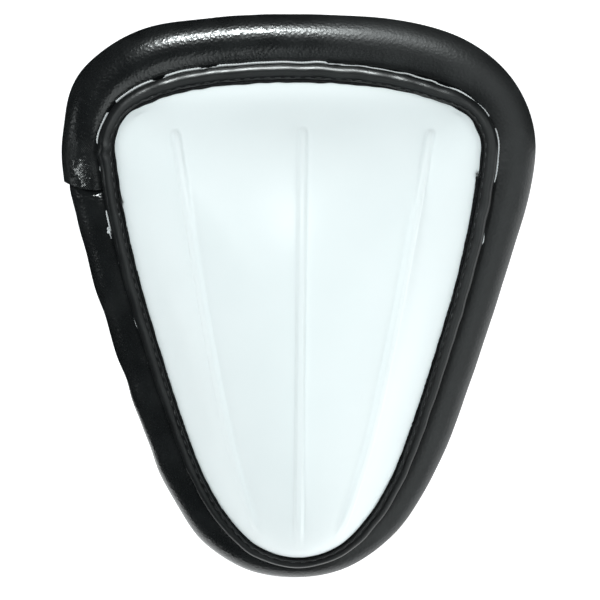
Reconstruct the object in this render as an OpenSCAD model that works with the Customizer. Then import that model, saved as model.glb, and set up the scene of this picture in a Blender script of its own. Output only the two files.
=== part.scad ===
// Groin protector: a moulded shell with a padded rim sewn round its edge.
// The cup rests on its rim: +Z points out of the front of the shell, +Y points to the
// wide waist end, and the origin is on the resting face, in the middle of the outline.

/* [Overall] */
// Length of the padded rim, from the waist end to the tip
rim_length = 155; // [135:1:175]
// Width of the padded rim at its widest
rim_width = 130; // [115:1:145]
// Height of the shell's summit above the resting face, without its ribs
dome_height = 50; // [44:1:58]

/* [Shell] */
// Wall thickness of the moulded shell
shell_wall = 2.4; // [1.8:0.1:2.8]
// Width of the straight flange that the binding is sewn to
flange_width = 6.5; // [6:0.1:9]
// How far the summit lies from the middle of the outline, towards the tip
summit_shift = 8; // [0:1:16]
// Width of a rib across its foot
rib_width = 2.6; // [2:0.1:3.4]
// Height of a rib above the shell
rib_rise = 0.9; // [0.5:0.1:1.2]

/* [Padded rim] */
// Thickness of the roll against its usual thickness
roll_scale = 1; // [0.9:0.01:1.05]
// Thickness of the vinyl sleeve round the foam
sleeve_wall = 0.9; // [0.6:0.1:1.2]
// How much the roll is flattened where it rests
roll_flat = 0.25; // [0.15:0.05:0.4]

/* [Binding] */
// Radius of the finished welt bead
welt_radius = 0.8; // [0.7:0.05:0.9]
// Radius of the white cord in the seam between roll and welt
seam_cord_radius = 0.3; // [0.2:0.05:0.35]
// Width of the inner tape over the waist end
upper_tape_width = 5; // [4.6:0.1:5.6]
// Width of the inner tape round the sides and tip
lower_tape_width = 4.4; // [4.2:0.1:5.2]
// Distance from one stitch to the next
stitch_pitch = 2.8; // [2.4:0.1:4]

/* [Hidden] */

// Right half of the rim's outer line, from the waist end to the tip:
// [x, y, radius of the roll, slope of the shell's flange in degrees]
rim_half = [
  [0, 77.6, 7.9, 24],
  [26, 76.3, 8.1, 25],
  [45, 71.3, 8.1, 28],
  [58.5, 61, 7.8, 36],
  [64.6, 46, 7.6, 46],
  [63.4, 29.5, 7.6, 50],
  [56.5, 4.5, 7.1, 55],
  [48, -21, 6.8, 58],
  [40.7, -41.3, 6.7, 60],
  [34, -55.3, 6.6, 64],
  [25.8, -66.7, 6.5, 68],
  [14, -74.9, 6.0, 76],
  [0, -77.5, 5.5, 80]
];
// Route of the right rib and of the middle one, from the waist end to the tip
rib_side_route = [[34.7, 45], [31, 25], [26, -3], [20, -33], [15.2, -51], [10.6, -65.5]];
rib_middle_route = [[0, 45.5], [0, 20], [0, -10], [0, -40], [0, -60], [0, -67.5]];
// Sideways lean of the ribs at the waist end
rib_lean = 1.7;

// Sizes that the tables of points are given for
drawn_length = 155;
drawn_width = 130;
drawn_tip = -77.5;

steps_per_span = 3;
roll_gap = 0.1;
layer = 0.6;
layer_gap = 0.06;
half_wall = shell_wall / 2;
shell_overlap = 0.7;
core_clearance = 0.3;
filler_clearance = 0.05;

// The dome: how far its contours' egg reaches, and how soon its meridians turn soft
egg_half_width = 43 * rim_width / drawn_width;
egg_half_length = 62 * rim_length / drawn_length;
egg_widening = 4;
egg_power = 2;
soft_spread = 5;
soft_by = 0.5;
summit_fullness = 0.55;

// A rib's section: shares of its width and rise at its root, foot, shoulder and crest
rib_root = half_wall * 0.3;
rib_profile = [[1.1, -1], [1, 0.15], [0.6, 0.8], [0, 1]];
rib_end_drop = 0.8;
rib_end_power = 12;

// Counts of steps round the sections
core_steps = 12;
sleeve_front_steps = 14;
sleeve_back_steps = 6;
sleeve_inner_steps = 14;
cord_steps = 6;
welt_inner_steps = 8;
welt_outer_steps = 10;

// Heights of the layers above the middle of the flange's wall
tail_in = half_wall + layer_gap;
tail_out = tail_in + layer;
tail_front_width = 0.9;
tail_back_width = 3.2;
welt_in = tail_out + layer_gap;
welt_tail = 0.4;
welt_tail_width = 3.9;
welt_wall = 0.35;
welt_u = welt_radius + 0.1;
welt_v = welt_in + welt_radius;
welt_wrap_from = -40;
welt_wrap_to = 285;
cord_gap = 0.06;
stitch_u = 3.2;
stitch_size = 0.3;
stitch_length = 1.6;
back_tape_edge = 0.6;
back_tape_width = 7.2;
back_stitch_u = 4.6;

// ---- The rim's line ----

function spline(p0, p1, p2, p3, t) =
  0.5 * (2 * p1 + (p2 - p0) * t + (2 * p0 - 5 * p1 + 4 * p2 - p3) * t * t
    + (3 * p1 - p0 - 3 * p2 + p3) * t * t * t);

function fitted(row) = [
  row[0] * rim_width / drawn_width,
  row[1] * rim_length / drawn_length,
  row[2] * roll_scale,
  row[3]
];

function mirrored(row) = [-row[0], row[1], row[2], row[3]];

half_count = len(rim_half);
rim_rows = concat(
  [for (row = rim_half) fitted(row)],
  [for (i = [half_count - 2:-1:1]) mirrored(fitted(rim_half[i]))]
);
row_count = len(rim_rows);

function rim_row(i) = rim_rows[(i + row_count) % row_count];

stations = [
  for (i = [0:row_count - 1])
    for (j = [0:steps_per_span - 1])
      spline(rim_row(i - 1), rim_row(i), rim_row(i + 1), rim_row(i + 2), j / steps_per_span)
];
station_count = len(stations);

function station(k) = stations[(k + station_count) % station_count];

function plan(row) = [row[0], row[1]];

function outward(k) =
  let (d = plan(station(k + 1)) - plan(station(k - 1)))
    [-d[1], d[0]] / norm(d);

// The section frame at each station: the flange's edge, the way up the flange and its normal
function flange_up(k) =
  let (n = outward(k), tilt = station(k)[3])
    [-n[0] * cos(tilt), -n[1] * cos(tilt), sin(tilt)];

function flange_normal(k) =
  let (n = outward(k), tilt = station(k)[3])
    [n[0] * sin(tilt), n[1] * sin(tilt), cos(tilt)];

function roll_centre(k) =
  let (s = station(k), p = plan(s) - outward(k) * s[2])
    [p[0], p[1], s[2] - roll_flat];

function flange_edge(k) = roll_centre(k) + flange_up(k) * (station(k)[2] + roll_gap);

ups = [for (k = [0:station_count - 1]) flange_up(k)];
normals = [for (k = [0:station_count - 1]) flange_normal(k)];
centres = [for (k = [0:station_count - 1]) roll_centre(k)];
edges = [for (k = [0:station_count - 1]) flange_edge(k)];

// A point of the section at station k: u up the flange from its edge, v out of its front
function section_point(k, u, v) = edges[k] + ups[k] * u + normals[k] * v;

// A point on the roll: angle from the flange's direction, towards the front of the cup
function roll_point(k, radius, angle) =
  centres[k] + ups[k] * radius * cos(angle) + normals[k] * radius * sin(angle);

function rested(p) = [p[0], p[1], max(p[2], 0)];

// ---- Sweeps round the rim ----

// Two triangles, wound so that a section listed clockwise, seen from behind, faces outwards
function quad(a, b, c, d) = [[a, c, b], [a, d, c]];

// One closed solid from a section at every station, all the way round
module ring(sections) {
  rows = len(sections);
  n = len(sections[0]);
  polyhedron(
    points = [for (s = sections) each s],
    faces = [
      for (k = [0:rows - 1])
        for (i = [0:n - 1])
          let (next = (k + 1) % rows, j = (i + 1) % n)
            each quad(k * n + i, k * n + j, next * n + j, next * n + i)
    ],
    convexity = 8
  );
}

// One closed solid along part of the rim, with a flat end on each side
module strip(sections) {
  rows = len(sections);
  n = len(sections[0]);
  last = (rows - 1) * n;
  polyhedron(
    points = [for (s = sections) each s],
    faces = concat(
      [
        for (k = [0:rows - 2])
          for (i = [0:n - 1])
            let (j = (i + 1) % n)
              each quad(k * n + i, k * n + j, (k + 1) * n + j, (k + 1) * n + i)
      ],
      [for (i = [1:n - 2]) [0, i, i + 1]],
      [for (i = [1:n - 2]) [last, last + i + 1, last + i]]
    ),
    convexity = 8
  );
}

// The four corners of a flat layer, from u0 to u1 along the flange and v0 to v1 off it
function flat_section(k, u0, u1, v0, v1) = [
  section_point(k, u0, v0),
  section_point(k, u0, v1),
  section_point(k, u1, v1),
  section_point(k, u1, v0)
];

// A round section at u, v
function round_section(k, u, v, radius, count) = [
  for (i = [0:count - 1])
    section_point(k, u - radius * cos(i * 360 / count), v + radius * sin(i * 360 / count))
];

// ---- The dome ----

summit = [0, -summit_shift];
summit_z = dome_height - half_wall;

function flange_top(k) = section_point(k, flange_width, 0);

// How far each station's flange top is from the summit, in plan
reaches = [for (k = [0:station_count - 1]) norm(plan(flange_top(k)) - summit)];

// The egg that the contours take on towards the summit: its reach in each station's direction
function egg_reach(k) =
  let (
    out = (plan(flange_top(k)) - summit) / reaches[k],
    half_width = egg_half_width + egg_widening * out[1]
  )
    1 / norm([out[0] / half_width, out[1] / egg_half_length]);

egg_reaches = [for (k = [0:station_count - 1]) egg_reach(k)];

// Meridian from the flange's inner line to the summit: [reach, egg's reach, height, slope]
meridians = [
  for (k = [0:station_count - 1])
    let (
      f = flange_top(k),
      out = plan(f) - summit,
      slope = atan(tan(station(k)[3]) * (out * outward(k)) / reaches[k])
    )
      [reaches[k], egg_reaches[k], f[2], slope]
];

function sum(rows, i = 0, total = [0, 0, 0, 0]) =
  i == len(rows) ? total : sum(rows, i + 1, total + rows[i]);

// Each row averaged with its neighbours round the rim
function softened(rows) = [
  for (k = [0:station_count - 1])
    sum([for (i = [-soft_spread:soft_spread]) rows[(k + i + station_count) % station_count]])
      / (2 * soft_spread + 1)
];

// The meridians that the dome follows towards the summit, with no trace of the corners
soft_meridians = softened(softened(meridians));

function bezier(p0, p1, p2, p3, t) =
  p0 * pow(1 - t, 3) + 3 * p1 * pow(1 - t, 2) * t + 3 * p2 * (1 - t) * t * t + p3 * t * t * t;

// Distance from the summit at a fraction of the reach, and how fast it grows
function reach_at(m, f) = f * m[1] + (m[0] - m[1]) * pow(f, egg_power + 1);

function reach_growth(m, f) = m[1] + (m[0] - m[1]) * (egg_power + 1) * pow(f, egg_power);

// A meridian's own curve, as [fraction of the reach, height], from the flange to the summit
function own_curve(m, t) =
  let (pull = m[1] / 3)
    bezier(
      [1, m[2]],
      [1 - pull * cos(m[3]) / reach_growth(m, 1), m[2] + pull * sin(m[3])],
      [summit_fullness, summit_z],
      [0, summit_z],
      t
    );

function ease(t) = t <= 0 ? 0 : t >= 1 ? 1 : t * t * (3 - 2 * t);

// The curve of the dome: its own at the flange, the soft one further in: [distance, height]
function dome_curve(m, soft, t) =
  let (
    w = ease(t / soft_by),
    p = own_curve(m, t) * (1 - w) + own_curve(soft, t) * w
  )
    [reach_at(m, p[0]), p[1]];

// A point of the dome on station k's meridian, moved off its middle surface by off
function dome_point(k, t, off) =
  let (
    m = meridians[k],
    soft = soft_meridians[k],
    p = dome_curve(m, soft, t),
    along = dome_curve(m, soft, t + 0.01) - dome_curve(m, soft, t - 0.01),
    q = p + [along[1], -along[0]] / norm(along) * off,
    out = (plan(flange_top(k)) - summit) / m[0]
  )
    [summit[0] + out[0] * q[0], summit[1] + out[1] * q[0], q[1]];

dome_steps = [0.1, 0.2, 0.32, 0.45, 0.58, 0.72, 0.87];
dome_step_count = len(dome_steps);

function shell_ring(t, off) = [for (k = [0:station_count - 1]) dome_point(k, t, off)];

function flange_ring(u, off) = [for (k = [0:station_count - 1]) section_point(k, u, off)];

module shell_wall_solid() {
  rings = concat(
    [for (i = [dome_step_count - 1:-1:0]) shell_ring(dome_steps[i], half_wall)],
    [flange_ring(flange_width, half_wall)],
    [flange_ring(-shell_overlap, half_wall)],
    [flange_ring(-shell_overlap, -half_wall)],
    [flange_ring(flange_width, -half_wall)],
    [for (i = [0:dome_step_count - 1]) shell_ring(dome_steps[i], -half_wall)]
  );
  rows = len(rings);
  n = station_count;
  outer_pole = rows * n;
  inner_pole = outer_pole + 1;
  last = (rows - 1) * n;
  polyhedron(
    points = concat(
      [for (r = rings) each r],
      [[summit[0], summit[1], summit_z + half_wall], [summit[0], summit[1], summit_z - half_wall]]
    ),
    faces = concat(
      [
        for (k = [0:rows - 2])
          for (i = [0:n - 1])
            let (j = (i + 1) % n)
              each quad(k * n + i, k * n + j, (k + 1) * n + j, (k + 1) * n + i)
      ],
      [for (i = [0:n - 1]) [outer_pole, i, (i + 1) % n]],
      [for (i = [0:n - 1]) [inner_pole, last + (i + 1) % n, last + i]]
    ),
    convexity = 6
  );
}

// ---- The ribs ----

function cross2(a, b) = a[0] * b[1] - a[1] * b[0];

// Which meridian span holds the direction out, as [station, fraction to the next one]
function span_of(out) =
  let (
    hits = [
      for (k = [0:station_count - 1])
        let (
          a = plan(flange_top(k)) - summit,
          b = plan(flange_top((k + 1) % station_count)) - summit,
          ca = cross2(a, out),
          cb = cross2(b, out)
        )
          if (ca <= 0 && cb > 0 && a * out > 0) [k, ca / (ca - cb)]
    ]
  )
    hits[0];

// Where on a dome's curve the distance from the summit is d
function curve_time(m, soft, d, low = 0, high = 1, turns = 14) =
  turns == 0
    ? (low + high) / 2
    : let (mid = (low + high) / 2)
        dome_curve(m, soft, mid)[0] > d
          ? curve_time(m, soft, d, mid, high, turns - 1)
          : curve_time(m, soft, d, low, mid, turns - 1);

function between(rows, span) =
  rows[span[0]] * (1 - span[1]) + rows[(span[0] + 1) % station_count] * span[1];

// Height of the dome's middle surface over a point of the plan
function dome_height_at(p) =
  let (
    out = p - summit,
    span = span_of(out),
    m = between(meridians, span),
    soft = between(soft_meridians, span)
  )
    dome_curve(m, soft, curve_time(m, soft, norm(out)))[1];

// A point over the plan, moved off the dome's middle surface along its normal
function above_dome(p, off) =
  let (
    h = 0.8,
    z = dome_height_at(p),
    dx = (dome_height_at(p + [h, 0]) - dome_height_at(p - [h, 0])) / (2 * h),
    dy = (dome_height_at(p + [0, h]) - dome_height_at(p - [0, h])) / (2 * h),
    normal = [-dx, -dy, 1] / norm([dx, dy, 1])
  )
    [p[0], p[1], z] + normal * off;

function leaning(p) = [
  (p[0] + rib_lean * (p[1] - drawn_tip) / drawn_length) * rim_width / drawn_width,
  p[1] * rim_length / drawn_length
];

function route_point(route, i) = route[max(0, min(len(route) - 1, i))];

// Points along a route, with the rib's sinking at its two ends as the third value
function rib_points(route) = [
  for (i = [0:len(route) - 2])
    for (j = [0:(i == len(route) - 2 ? 3 : 2)])
      let (
        t = j / 3,
        p = spline(
          route_point(route, i - 1), route_point(route, i),
          route_point(route, i + 1), route_point(route, i + 2), t
        ),
        along = (i + t) / (len(route) - 1),
        sink = pow(abs(2 * along - 1), rib_end_power)
      )
        [p[0], p[1], sink]
];

// Section of a rib across its route, from its root in the wall over its rounded top
function rib_section(route_points, i) =
  let (
    last = len(route_points) - 1,
    p = leaning(plan(route_points[i])),
    ahead = leaning(plan(route_points[min(i + 1, last)])),
    behind = leaning(plan(route_points[max(i - 1, 0)])),
    d = (ahead - behind) / norm(ahead - behind),
    side = [-d[1], d[0]] * rib_width / 2,
    rise = rib_rise * (1 - rib_end_drop * route_points[i][2]),
    half = [for (q = rib_profile) [q[0], q[1] < 0 ? rib_root : half_wall + rise * q[1]]],
    crest = len(half) - 1
  )
    concat(
      [for (q = half) above_dome(p + side * q[0], q[1])],
      [for (j = [crest - 1:-1:0]) above_dome(p - side * half[j][0], half[j][1])]
    );

module rib(route) {
  points = rib_points(route);
  strip([for (i = [0:len(points) - 1]) rib_section(points, i)]);
}

// ---- Sub-parts ----

// The moulded shell, with its three ribs in one piece with it
module cup_shell() {
  color("#e8f1f2") {
    union() {
      shell_wall_solid();
      rib(rib_middle_route);
      rib(rib_side_route);
      rib([for (p = rib_side_route) [-p[0], p[1]]]);
    }
  }
}

// The foam inside the roll
module rim_foam_core() {
  color("#5b5d5f") {
    ring([
      for (k = [0:station_count - 1])
        [
          for (i = [0:core_steps - 1])
            roll_point(
              k, station(k)[2] - sleeve_wall - core_clearance, 180 - i * 360 / core_steps
            )
        ]
    ]);
  }
}

// Angles in equal steps, both ends included
function steps(from, to, count) = [for (i = [0:count]) from + (to - from) * i / count];

// The vinyl sleeve: round the foam, flat where it rests, with a tail on each face of the flange
function sleeve_section(k) =
  let (
    r = station(k)[2],
    r_in = r - sleeve_wall,
    a_out = asin(tail_out / r),
    a_in = asin(tail_in / r_in),
    rest = 270 - station(k)[3],
    rest_half = acos((r - roll_flat) / r),
    outer = concat(
      steps(a_out, rest - rest_half, sleeve_front_steps),
      steps(rest + rest_half, 360 - a_out, sleeve_back_steps)
    )
  )
    concat(
      [section_point(k, tail_front_width, tail_out)],
      [section_point(k, tail_front_width, tail_in)],
      [for (a = steps(a_in, 360 - a_in, sleeve_inner_steps)) roll_point(k, r_in, a)],
      [section_point(k, tail_back_width, -tail_in)],
      [section_point(k, tail_back_width, -tail_out)],
      [for (i = [len(outer) - 1:-1:0]) rested(roll_point(k, r, outer[i]))]
    );

module rim_sleeve() {
  color("#1b1d1f") ring([for (k = [0:station_count - 1]) sleeve_section(k)]);
}

// The cord inside the welt
module welt_filler_cord() {
  color("#d9d6cc") {
    ring([
      for (k = [0:station_count - 1])
        round_section(
          k, welt_u, welt_v, welt_radius - welt_wall - filler_clearance, cord_steps
        )
    ]);
  }
}

// The welt's cover: a strip folded round the cord, with its tail on the inner tape
function welt_arc(k, radius, from, to, count) = [
  for (a = steps(from, to, count))
    section_point(k, welt_u + radius * cos(a), welt_v + radius * sin(a))
];

function welt_section(k) =
  let (
    r_in = welt_radius - welt_wall,
    top = welt_in + welt_tail,
    a_tail = asin((top - welt_v) / welt_radius)
  )
    concat(
      [section_point(k, welt_tail_width, welt_in)],
      [section_point(k, welt_u + 0.9 * welt_radius, welt_in)],
      welt_arc(k, r_in, welt_wrap_from, welt_wrap_to, welt_inner_steps),
      welt_arc(k, welt_radius, welt_wrap_to, a_tail, welt_outer_steps),
      [section_point(k, welt_tail_width, top)]
    );

module welt_cover() {
  color("#202224") ring([for (k = [0:station_count - 1]) welt_section(k)]);
}

// The white cord, on the roll just outside the welt
function seam_cord_reach(k) = station(k)[2] + seam_cord_radius + cord_gap;

function seam_cord_angle(k) =
  let (
    r = seam_cord_reach(k),
    d = [station(k)[2] + roll_gap + welt_u, welt_v],
    reach = norm(d),
    gap = max(welt_radius + seam_cord_radius + 2 * cord_gap, reach - r)
  )
    atan2(d[1], d[0]) + acos((r * r + reach * reach - gap * gap) / (2 * r * reach));

function seam_cord_section(k) =
  let (
    r = seam_cord_reach(k),
    a = seam_cord_angle(k),
    u = r * cos(a) - station(k)[2] - roll_gap,
    v = r * sin(a)
  )
    round_section(k, u, v, seam_cord_radius, cord_steps);

module seam_cord() {
  color("white") ring([for (k = [0:station_count - 1]) seam_cord_section(k)]);
}

// The inner tape lies on the flange in two lengths, which meet on the right and on the left
tape_right_end = 15;
tape_left_end = 56;

function tape_stations(from, to) = [for (k = [from:to]) k % station_count];

module inner_tape(from, to, width) {
  strip([
    for (k = tape_stations(from, to))
      flat_section(k, tail_front_width + roll_gap, width, tail_in, tail_out)
  ]);
}

module inner_tape_upper() {
  color("#17181a") inner_tape(tape_left_end, tape_right_end + station_count, upper_tape_width);
}

module inner_tape_lower() {
  color("#121314") inner_tape(tape_right_end, tape_left_end, lower_tape_width);
}

// The tape on the back of the flange, over the sleeve's back tail
module back_tape() {
  color("#17181a") {
    ring([
      for (k = [0:station_count - 1])
        flat_section(
          k, back_tape_edge, back_tape_width, -tail_out - layer_gap - layer, -tail_out - layer_gap
        )
    ]);
  }
}

// ---- Stitching ----

// Distance round the rim at u, v up to each station
function lengths(u, v, k = 0, total = 0) =
  k > station_count
    ? []
    : concat(
        [total],
        lengths(
          u, v, k + 1,
          total + norm(
            section_point((k + 1) % station_count, u, v) - section_point(k % station_count, u, v)
          )
        )
      );

// A point at u, v and at the distance s round the rim
function along_rim(sums, u, v, s) =
  let (
    k = max([for (i = [0:station_count - 1]) sums[i] <= s ? i : 0]),
    f = (s - sums[k]) / (sums[k + 1] - sums[k])
  )
    section_point(k, u, v) * (1 - f) + section_point((k + 1) % station_count, u, v) * f;

// A row of stitches: small blocks along the rim at u, from v0 to v1 off the flange
module stitch_row(u, v0, v1) {
  sums = lengths(u, v0);
  total = sums[station_count];
  count = floor(total / stitch_pitch);
  pitch = total / count;
  half = stitch_size / 2;
  polyhedron(
    points = [
      for (i = [0:count - 1])
        for (end = [0, 1])
          let (s = i * pitch + end * stitch_length)
            each [
              along_rim(sums, u - half, v0, s),
              along_rim(sums, u - half, v1, s),
              along_rim(sums, u + half, v1, s),
              along_rim(sums, u + half, v0, s)
            ]
    ],
    faces = [
      for (i = [0:count - 1])
        let (b = i * 8)
          each concat(
            [
              for (e = [0:3])
                let (f = (e + 1) % 4)
                  each quad(b + e, b + f, b + 4 + f, b + 4 + e)
            ],
            [[b, b + 1, b + 2], [b, b + 2, b + 3], [b + 4, b + 6, b + 5], [b + 4, b + 7, b + 6]]
          )
    ],
    convexity = 8
  );
}

module front_stitching() {
  v = welt_in + welt_tail + layer_gap;
  color("#2c2e30") stitch_row(stitch_u, v, v + stitch_size);
}

module back_stitching() {
  v = tail_out + 2 * layer_gap + layer;
  color("#2c2e30") stitch_row(back_stitch_u, -v - stitch_size, -v);
}

cup_shell();
rim_foam_core();
rim_sleeve();
welt_filler_cord();
welt_cover();
seam_cord();
inner_tape_upper();
inner_tape_lower();
front_stitching();
back_tape();
back_stitching();
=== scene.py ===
"""A groin protector: a moulded white shell with a padded black rim sewn round its edge.

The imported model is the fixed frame. Every piece is built along one shared line of the rim,
stands for its CAD node, and gets its own finish.
"""

import logging
import math
from collections.abc import Callable
from dataclasses import dataclass, replace
from enum import Enum

import bpy
import numpy as np
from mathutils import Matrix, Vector


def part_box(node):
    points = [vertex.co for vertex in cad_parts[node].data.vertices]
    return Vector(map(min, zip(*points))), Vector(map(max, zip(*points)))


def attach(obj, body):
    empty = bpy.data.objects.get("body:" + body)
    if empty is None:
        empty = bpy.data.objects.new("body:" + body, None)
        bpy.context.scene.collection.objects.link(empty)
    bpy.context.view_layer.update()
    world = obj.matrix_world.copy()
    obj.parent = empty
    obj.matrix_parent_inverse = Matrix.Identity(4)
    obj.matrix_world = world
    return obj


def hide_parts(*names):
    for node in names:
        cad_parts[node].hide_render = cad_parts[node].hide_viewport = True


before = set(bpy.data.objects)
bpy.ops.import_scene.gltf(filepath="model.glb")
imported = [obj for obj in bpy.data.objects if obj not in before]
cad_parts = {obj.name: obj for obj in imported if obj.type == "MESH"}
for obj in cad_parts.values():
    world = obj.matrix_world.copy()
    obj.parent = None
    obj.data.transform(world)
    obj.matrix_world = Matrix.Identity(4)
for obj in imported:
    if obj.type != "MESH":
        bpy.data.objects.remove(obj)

LOG = logging.getLogger("groin_protector")
MM = 0.001
ROWS = 24


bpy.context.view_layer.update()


# ---- Shader work ----


class Sum:
    """A socket that can stand in Python sums: each operator adds a Math node."""

    def __init__(self, paint: "Paint", socket: bpy.types.NodeSocket) -> None:
        """Keeps the socket.

        Args:
            paint: The material's node tree.
            socket: The output socket that holds the value.
        """
        self.paint = paint
        self.socket = socket

    def math(self, operation: str, *values: "Sum | float") -> "Sum":
        """Adds one Math node.

        Args:
            operation: Blender's name of the operation.
            values: What goes into the node's sockets, in order.

        Returns:
            The node's output.
        """
        return self.paint.add(
            "ShaderNodeMath", {"operation": operation}, dict(enumerate(values))
        )

    def __add__(self, other: "Sum | float") -> "Sum":
        """Gives self + other."""
        return self.math("ADD", self, other)

    def __mul__(self, other: "Sum | float") -> "Sum":
        """Gives self * other."""
        return self.math("MULTIPLY", self, other)

    def __sub__(self, other: "Sum | float") -> "Sum":
        """Gives self - other."""
        return self.math("SUBTRACT", self, other)

    def __rsub__(self, other: float) -> "Sum":
        """Gives other - self."""
        return self.math("SUBTRACT", other, self)

    def __truediv__(self, other: "Sum | float") -> "Sum":
        """Gives self / other."""
        return self.math("DIVIDE", self, other)

    __radd__, __rmul__ = __add__, __mul__

    def sine(self) -> "Sum":
        """Gives the sine of the value, in radians."""
        return self.math("SINE", self)

    def fade(self, start: float, end: float) -> "Sum":
        """Gives a smooth step from 0 at start to 1 at end.

        Args:
            start: The value where the step begins.
            end: The value where the step is done.

        Returns:
            The step, from 0 to 1.
        """
        return self.paint.add(
            "ShaderNodeMapRange",
            {"interpolation_type": "SMOOTHSTEP"},
            {"Value": self, "From Min": start, "From Max": end},
        )


class Paint:
    """The node tree of one material."""

    def __init__(self, name: str) -> None:
        """Makes an empty material.

        Args:
            name: The material's name.
        """
        self.material = bpy.data.materials.new(name)
        self.material.use_nodes = True
        self.tree = self.material.node_tree
        self.tree.nodes.clear()

    def add(
        self,
        kind: str,
        settings: dict | None = None,
        values: dict | None = None,
        output: int | str = 0,
    ) -> Sum:
        """Adds one node.

        Args:
            kind: Blender's name of the node type.
            settings: The node's own settings, set first; "stops" are a ramp's stops.
            values: What goes into its sockets, by name or number: a number, a colour or a socket.
            output: Which output is wanted.

        Returns:
            The wanted output.
        """
        node = self.tree.nodes.new(kind)
        for key, value in (settings or {}).items():
            if key == "stops":
                self._set_stops(node.color_ramp, value)
            else:
                setattr(node, key, value)
        for key, value in (values or {}).items():
            if isinstance(value, Sum):
                self.tree.links.new(value.socket, node.inputs[key])
            else:
                node.inputs[key].default_value = value
        return Sum(self, node.outputs[output])

    @staticmethod
    def _set_stops(ramp: bpy.types.ColorRamp, stops: list[tuple[float, tuple]]) -> None:
        """Sets a ramp's stops.

        Args:
            ramp: The ramp.
            stops: Pairs of place and colour.
        """
        while len(ramp.elements) < len(stops):
            ramp.elements.new(1.0)
        for element, (place, colour) in zip(ramp.elements, stops):
            element.position = place
            element.color = colour

    def place(self) -> Sum:
        """Gives the object coordinates, in metres."""
        return self.add("ShaderNodeTexCoord", output="Object")

    def sheet_place(self) -> tuple[Sum, Sum]:
        """Gives the piece's own coordinates, in millimetres: along the rim and across it.

        Returns:
            The two coordinates.
        """
        vector = self.add("ShaderNodeUVMap", {"uv_map": "sheet"})
        split = {"Vector": vector}
        return (
            self.add("ShaderNodeSeparateXYZ", values=split, output="X") * 1000.0,
            self.add("ShaderNodeSeparateXYZ", values=split, output="Y") * 1000.0,
        )

    def noise(self, size: float, detail: float = 2.0, vector: Sum | None = None) -> Sum:
        """Adds smooth noise.

        Args:
            size: The size of its patches, in metres.
            detail: How much fine detail it has.
            vector: Where it is read, or None for object coordinates.

        Returns:
            The noise, from 0 to 1.
        """
        values = {"Vector": vector or self.place(), "Scale": 1.0 / size, "Detail": detail}
        return self.add("ShaderNodeTexNoise", values=values)

    def cells(self, size: float, feature: str = "SMOOTH_F1", vector: Sum | None = None) -> Sum:
        """Adds a pattern of rounded cells.

        Args:
            size: The size of a cell, in metres.
            feature: Which of the pattern's values is wanted.
            vector: Where it is read, or None for object coordinates.

        Returns:
            The distance from the cells' middles.
        """
        values = {"Vector": vector or self.place(), "Scale": 1.0 / size}
        return self.add("ShaderNodeTexVoronoi", {"feature": feature}, values)

    def tint(self, share: Sum, low: tuple, high: tuple) -> Sum:
        """Blends two colours.

        Args:
            share: How much of the second one, from 0 to 1.
            low: The first colour, as red, green and blue.
            high: The second colour.

        Returns:
            The blended colour.
        """
        return self.add(
            "ShaderNodeMix",
            {"data_type": "RGBA"},
            {"Factor": share, 6: (*low, 1.0), 7: (*high, 1.0)},
            output=2,
        )

    def bump(self, height: Sum, depth: float, under: Sum | None = None) -> Sum:
        """Adds a bump.

        Args:
            height: The relief, from 0 to 1.
            depth: How deep the relief is, in metres.
            under: Another bump that this one lies on.

        Returns:
            The bumped normal.
        """
        values = {"Strength": 1.0, "Distance": depth, "Height": height}
        if under is not None:
            values["Normal"] = under
        return self.add("ShaderNodeBump", values=values)

    def finish(self, **values: object) -> bpy.types.Material:
        """Adds the surface shader and the output.

        Args:
            values: The shader's values, with underscores for the spaces in their names.

        Returns:
            The finished material.
        """
        named = {key.replace("_", " "): value for key, value in values.items()}
        surface = self.add("ShaderNodeBsdfPrincipled", values=named)
        self.add_output(surface)
        return self.material

    def add_output(self, surface: Sum) -> None:
        """Links the surface to the material's output."""
        node = self.tree.nodes.new("ShaderNodeOutputMaterial")
        self.tree.links.new(surface.socket, node.inputs["Surface"])


# ---- Finishes ----


@dataclass(frozen=True)
class ShellPlastic:
    """Cool white moulded plastic: satin, a little milky, with the faintest ripple of the mould."""

    colour: tuple = (0.88, 0.93, 0.935)
    shaded: tuple = (0.845, 0.90, 0.905)
    roughness: float = 0.42
    ripple: float = 0.015 * MM

    def material(self) -> bpy.types.Material:
        """Gives the material.

        Returns:
            The material.
        """
        paint = Paint("shell_plastic")
        cloudy = paint.noise(16 * MM, 1.0)
        scuffs = paint.noise(1.1 * MM, 3.0).fade(0.66, 0.8)
        ripple = paint.bump(paint.noise(7 * MM, 1.0), self.ripple)
        return paint.finish(
            Base_Color=paint.tint(cloudy, self.shaded, self.colour),
            Roughness=self.roughness + 0.07 * cloudy + 0.1 * scuffs,
            Normal=paint.bump(paint.noise(0.35 * MM, 2.0), 0.0015 * MM, ripple),
            Subsurface_Weight=0.05,
            Subsurface_Radius=(1.0, 1.0, 1.0),
            Subsurface_Scale=1.5 * MM,
            Specular_IOR_Level=0.2,
        )


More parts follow.
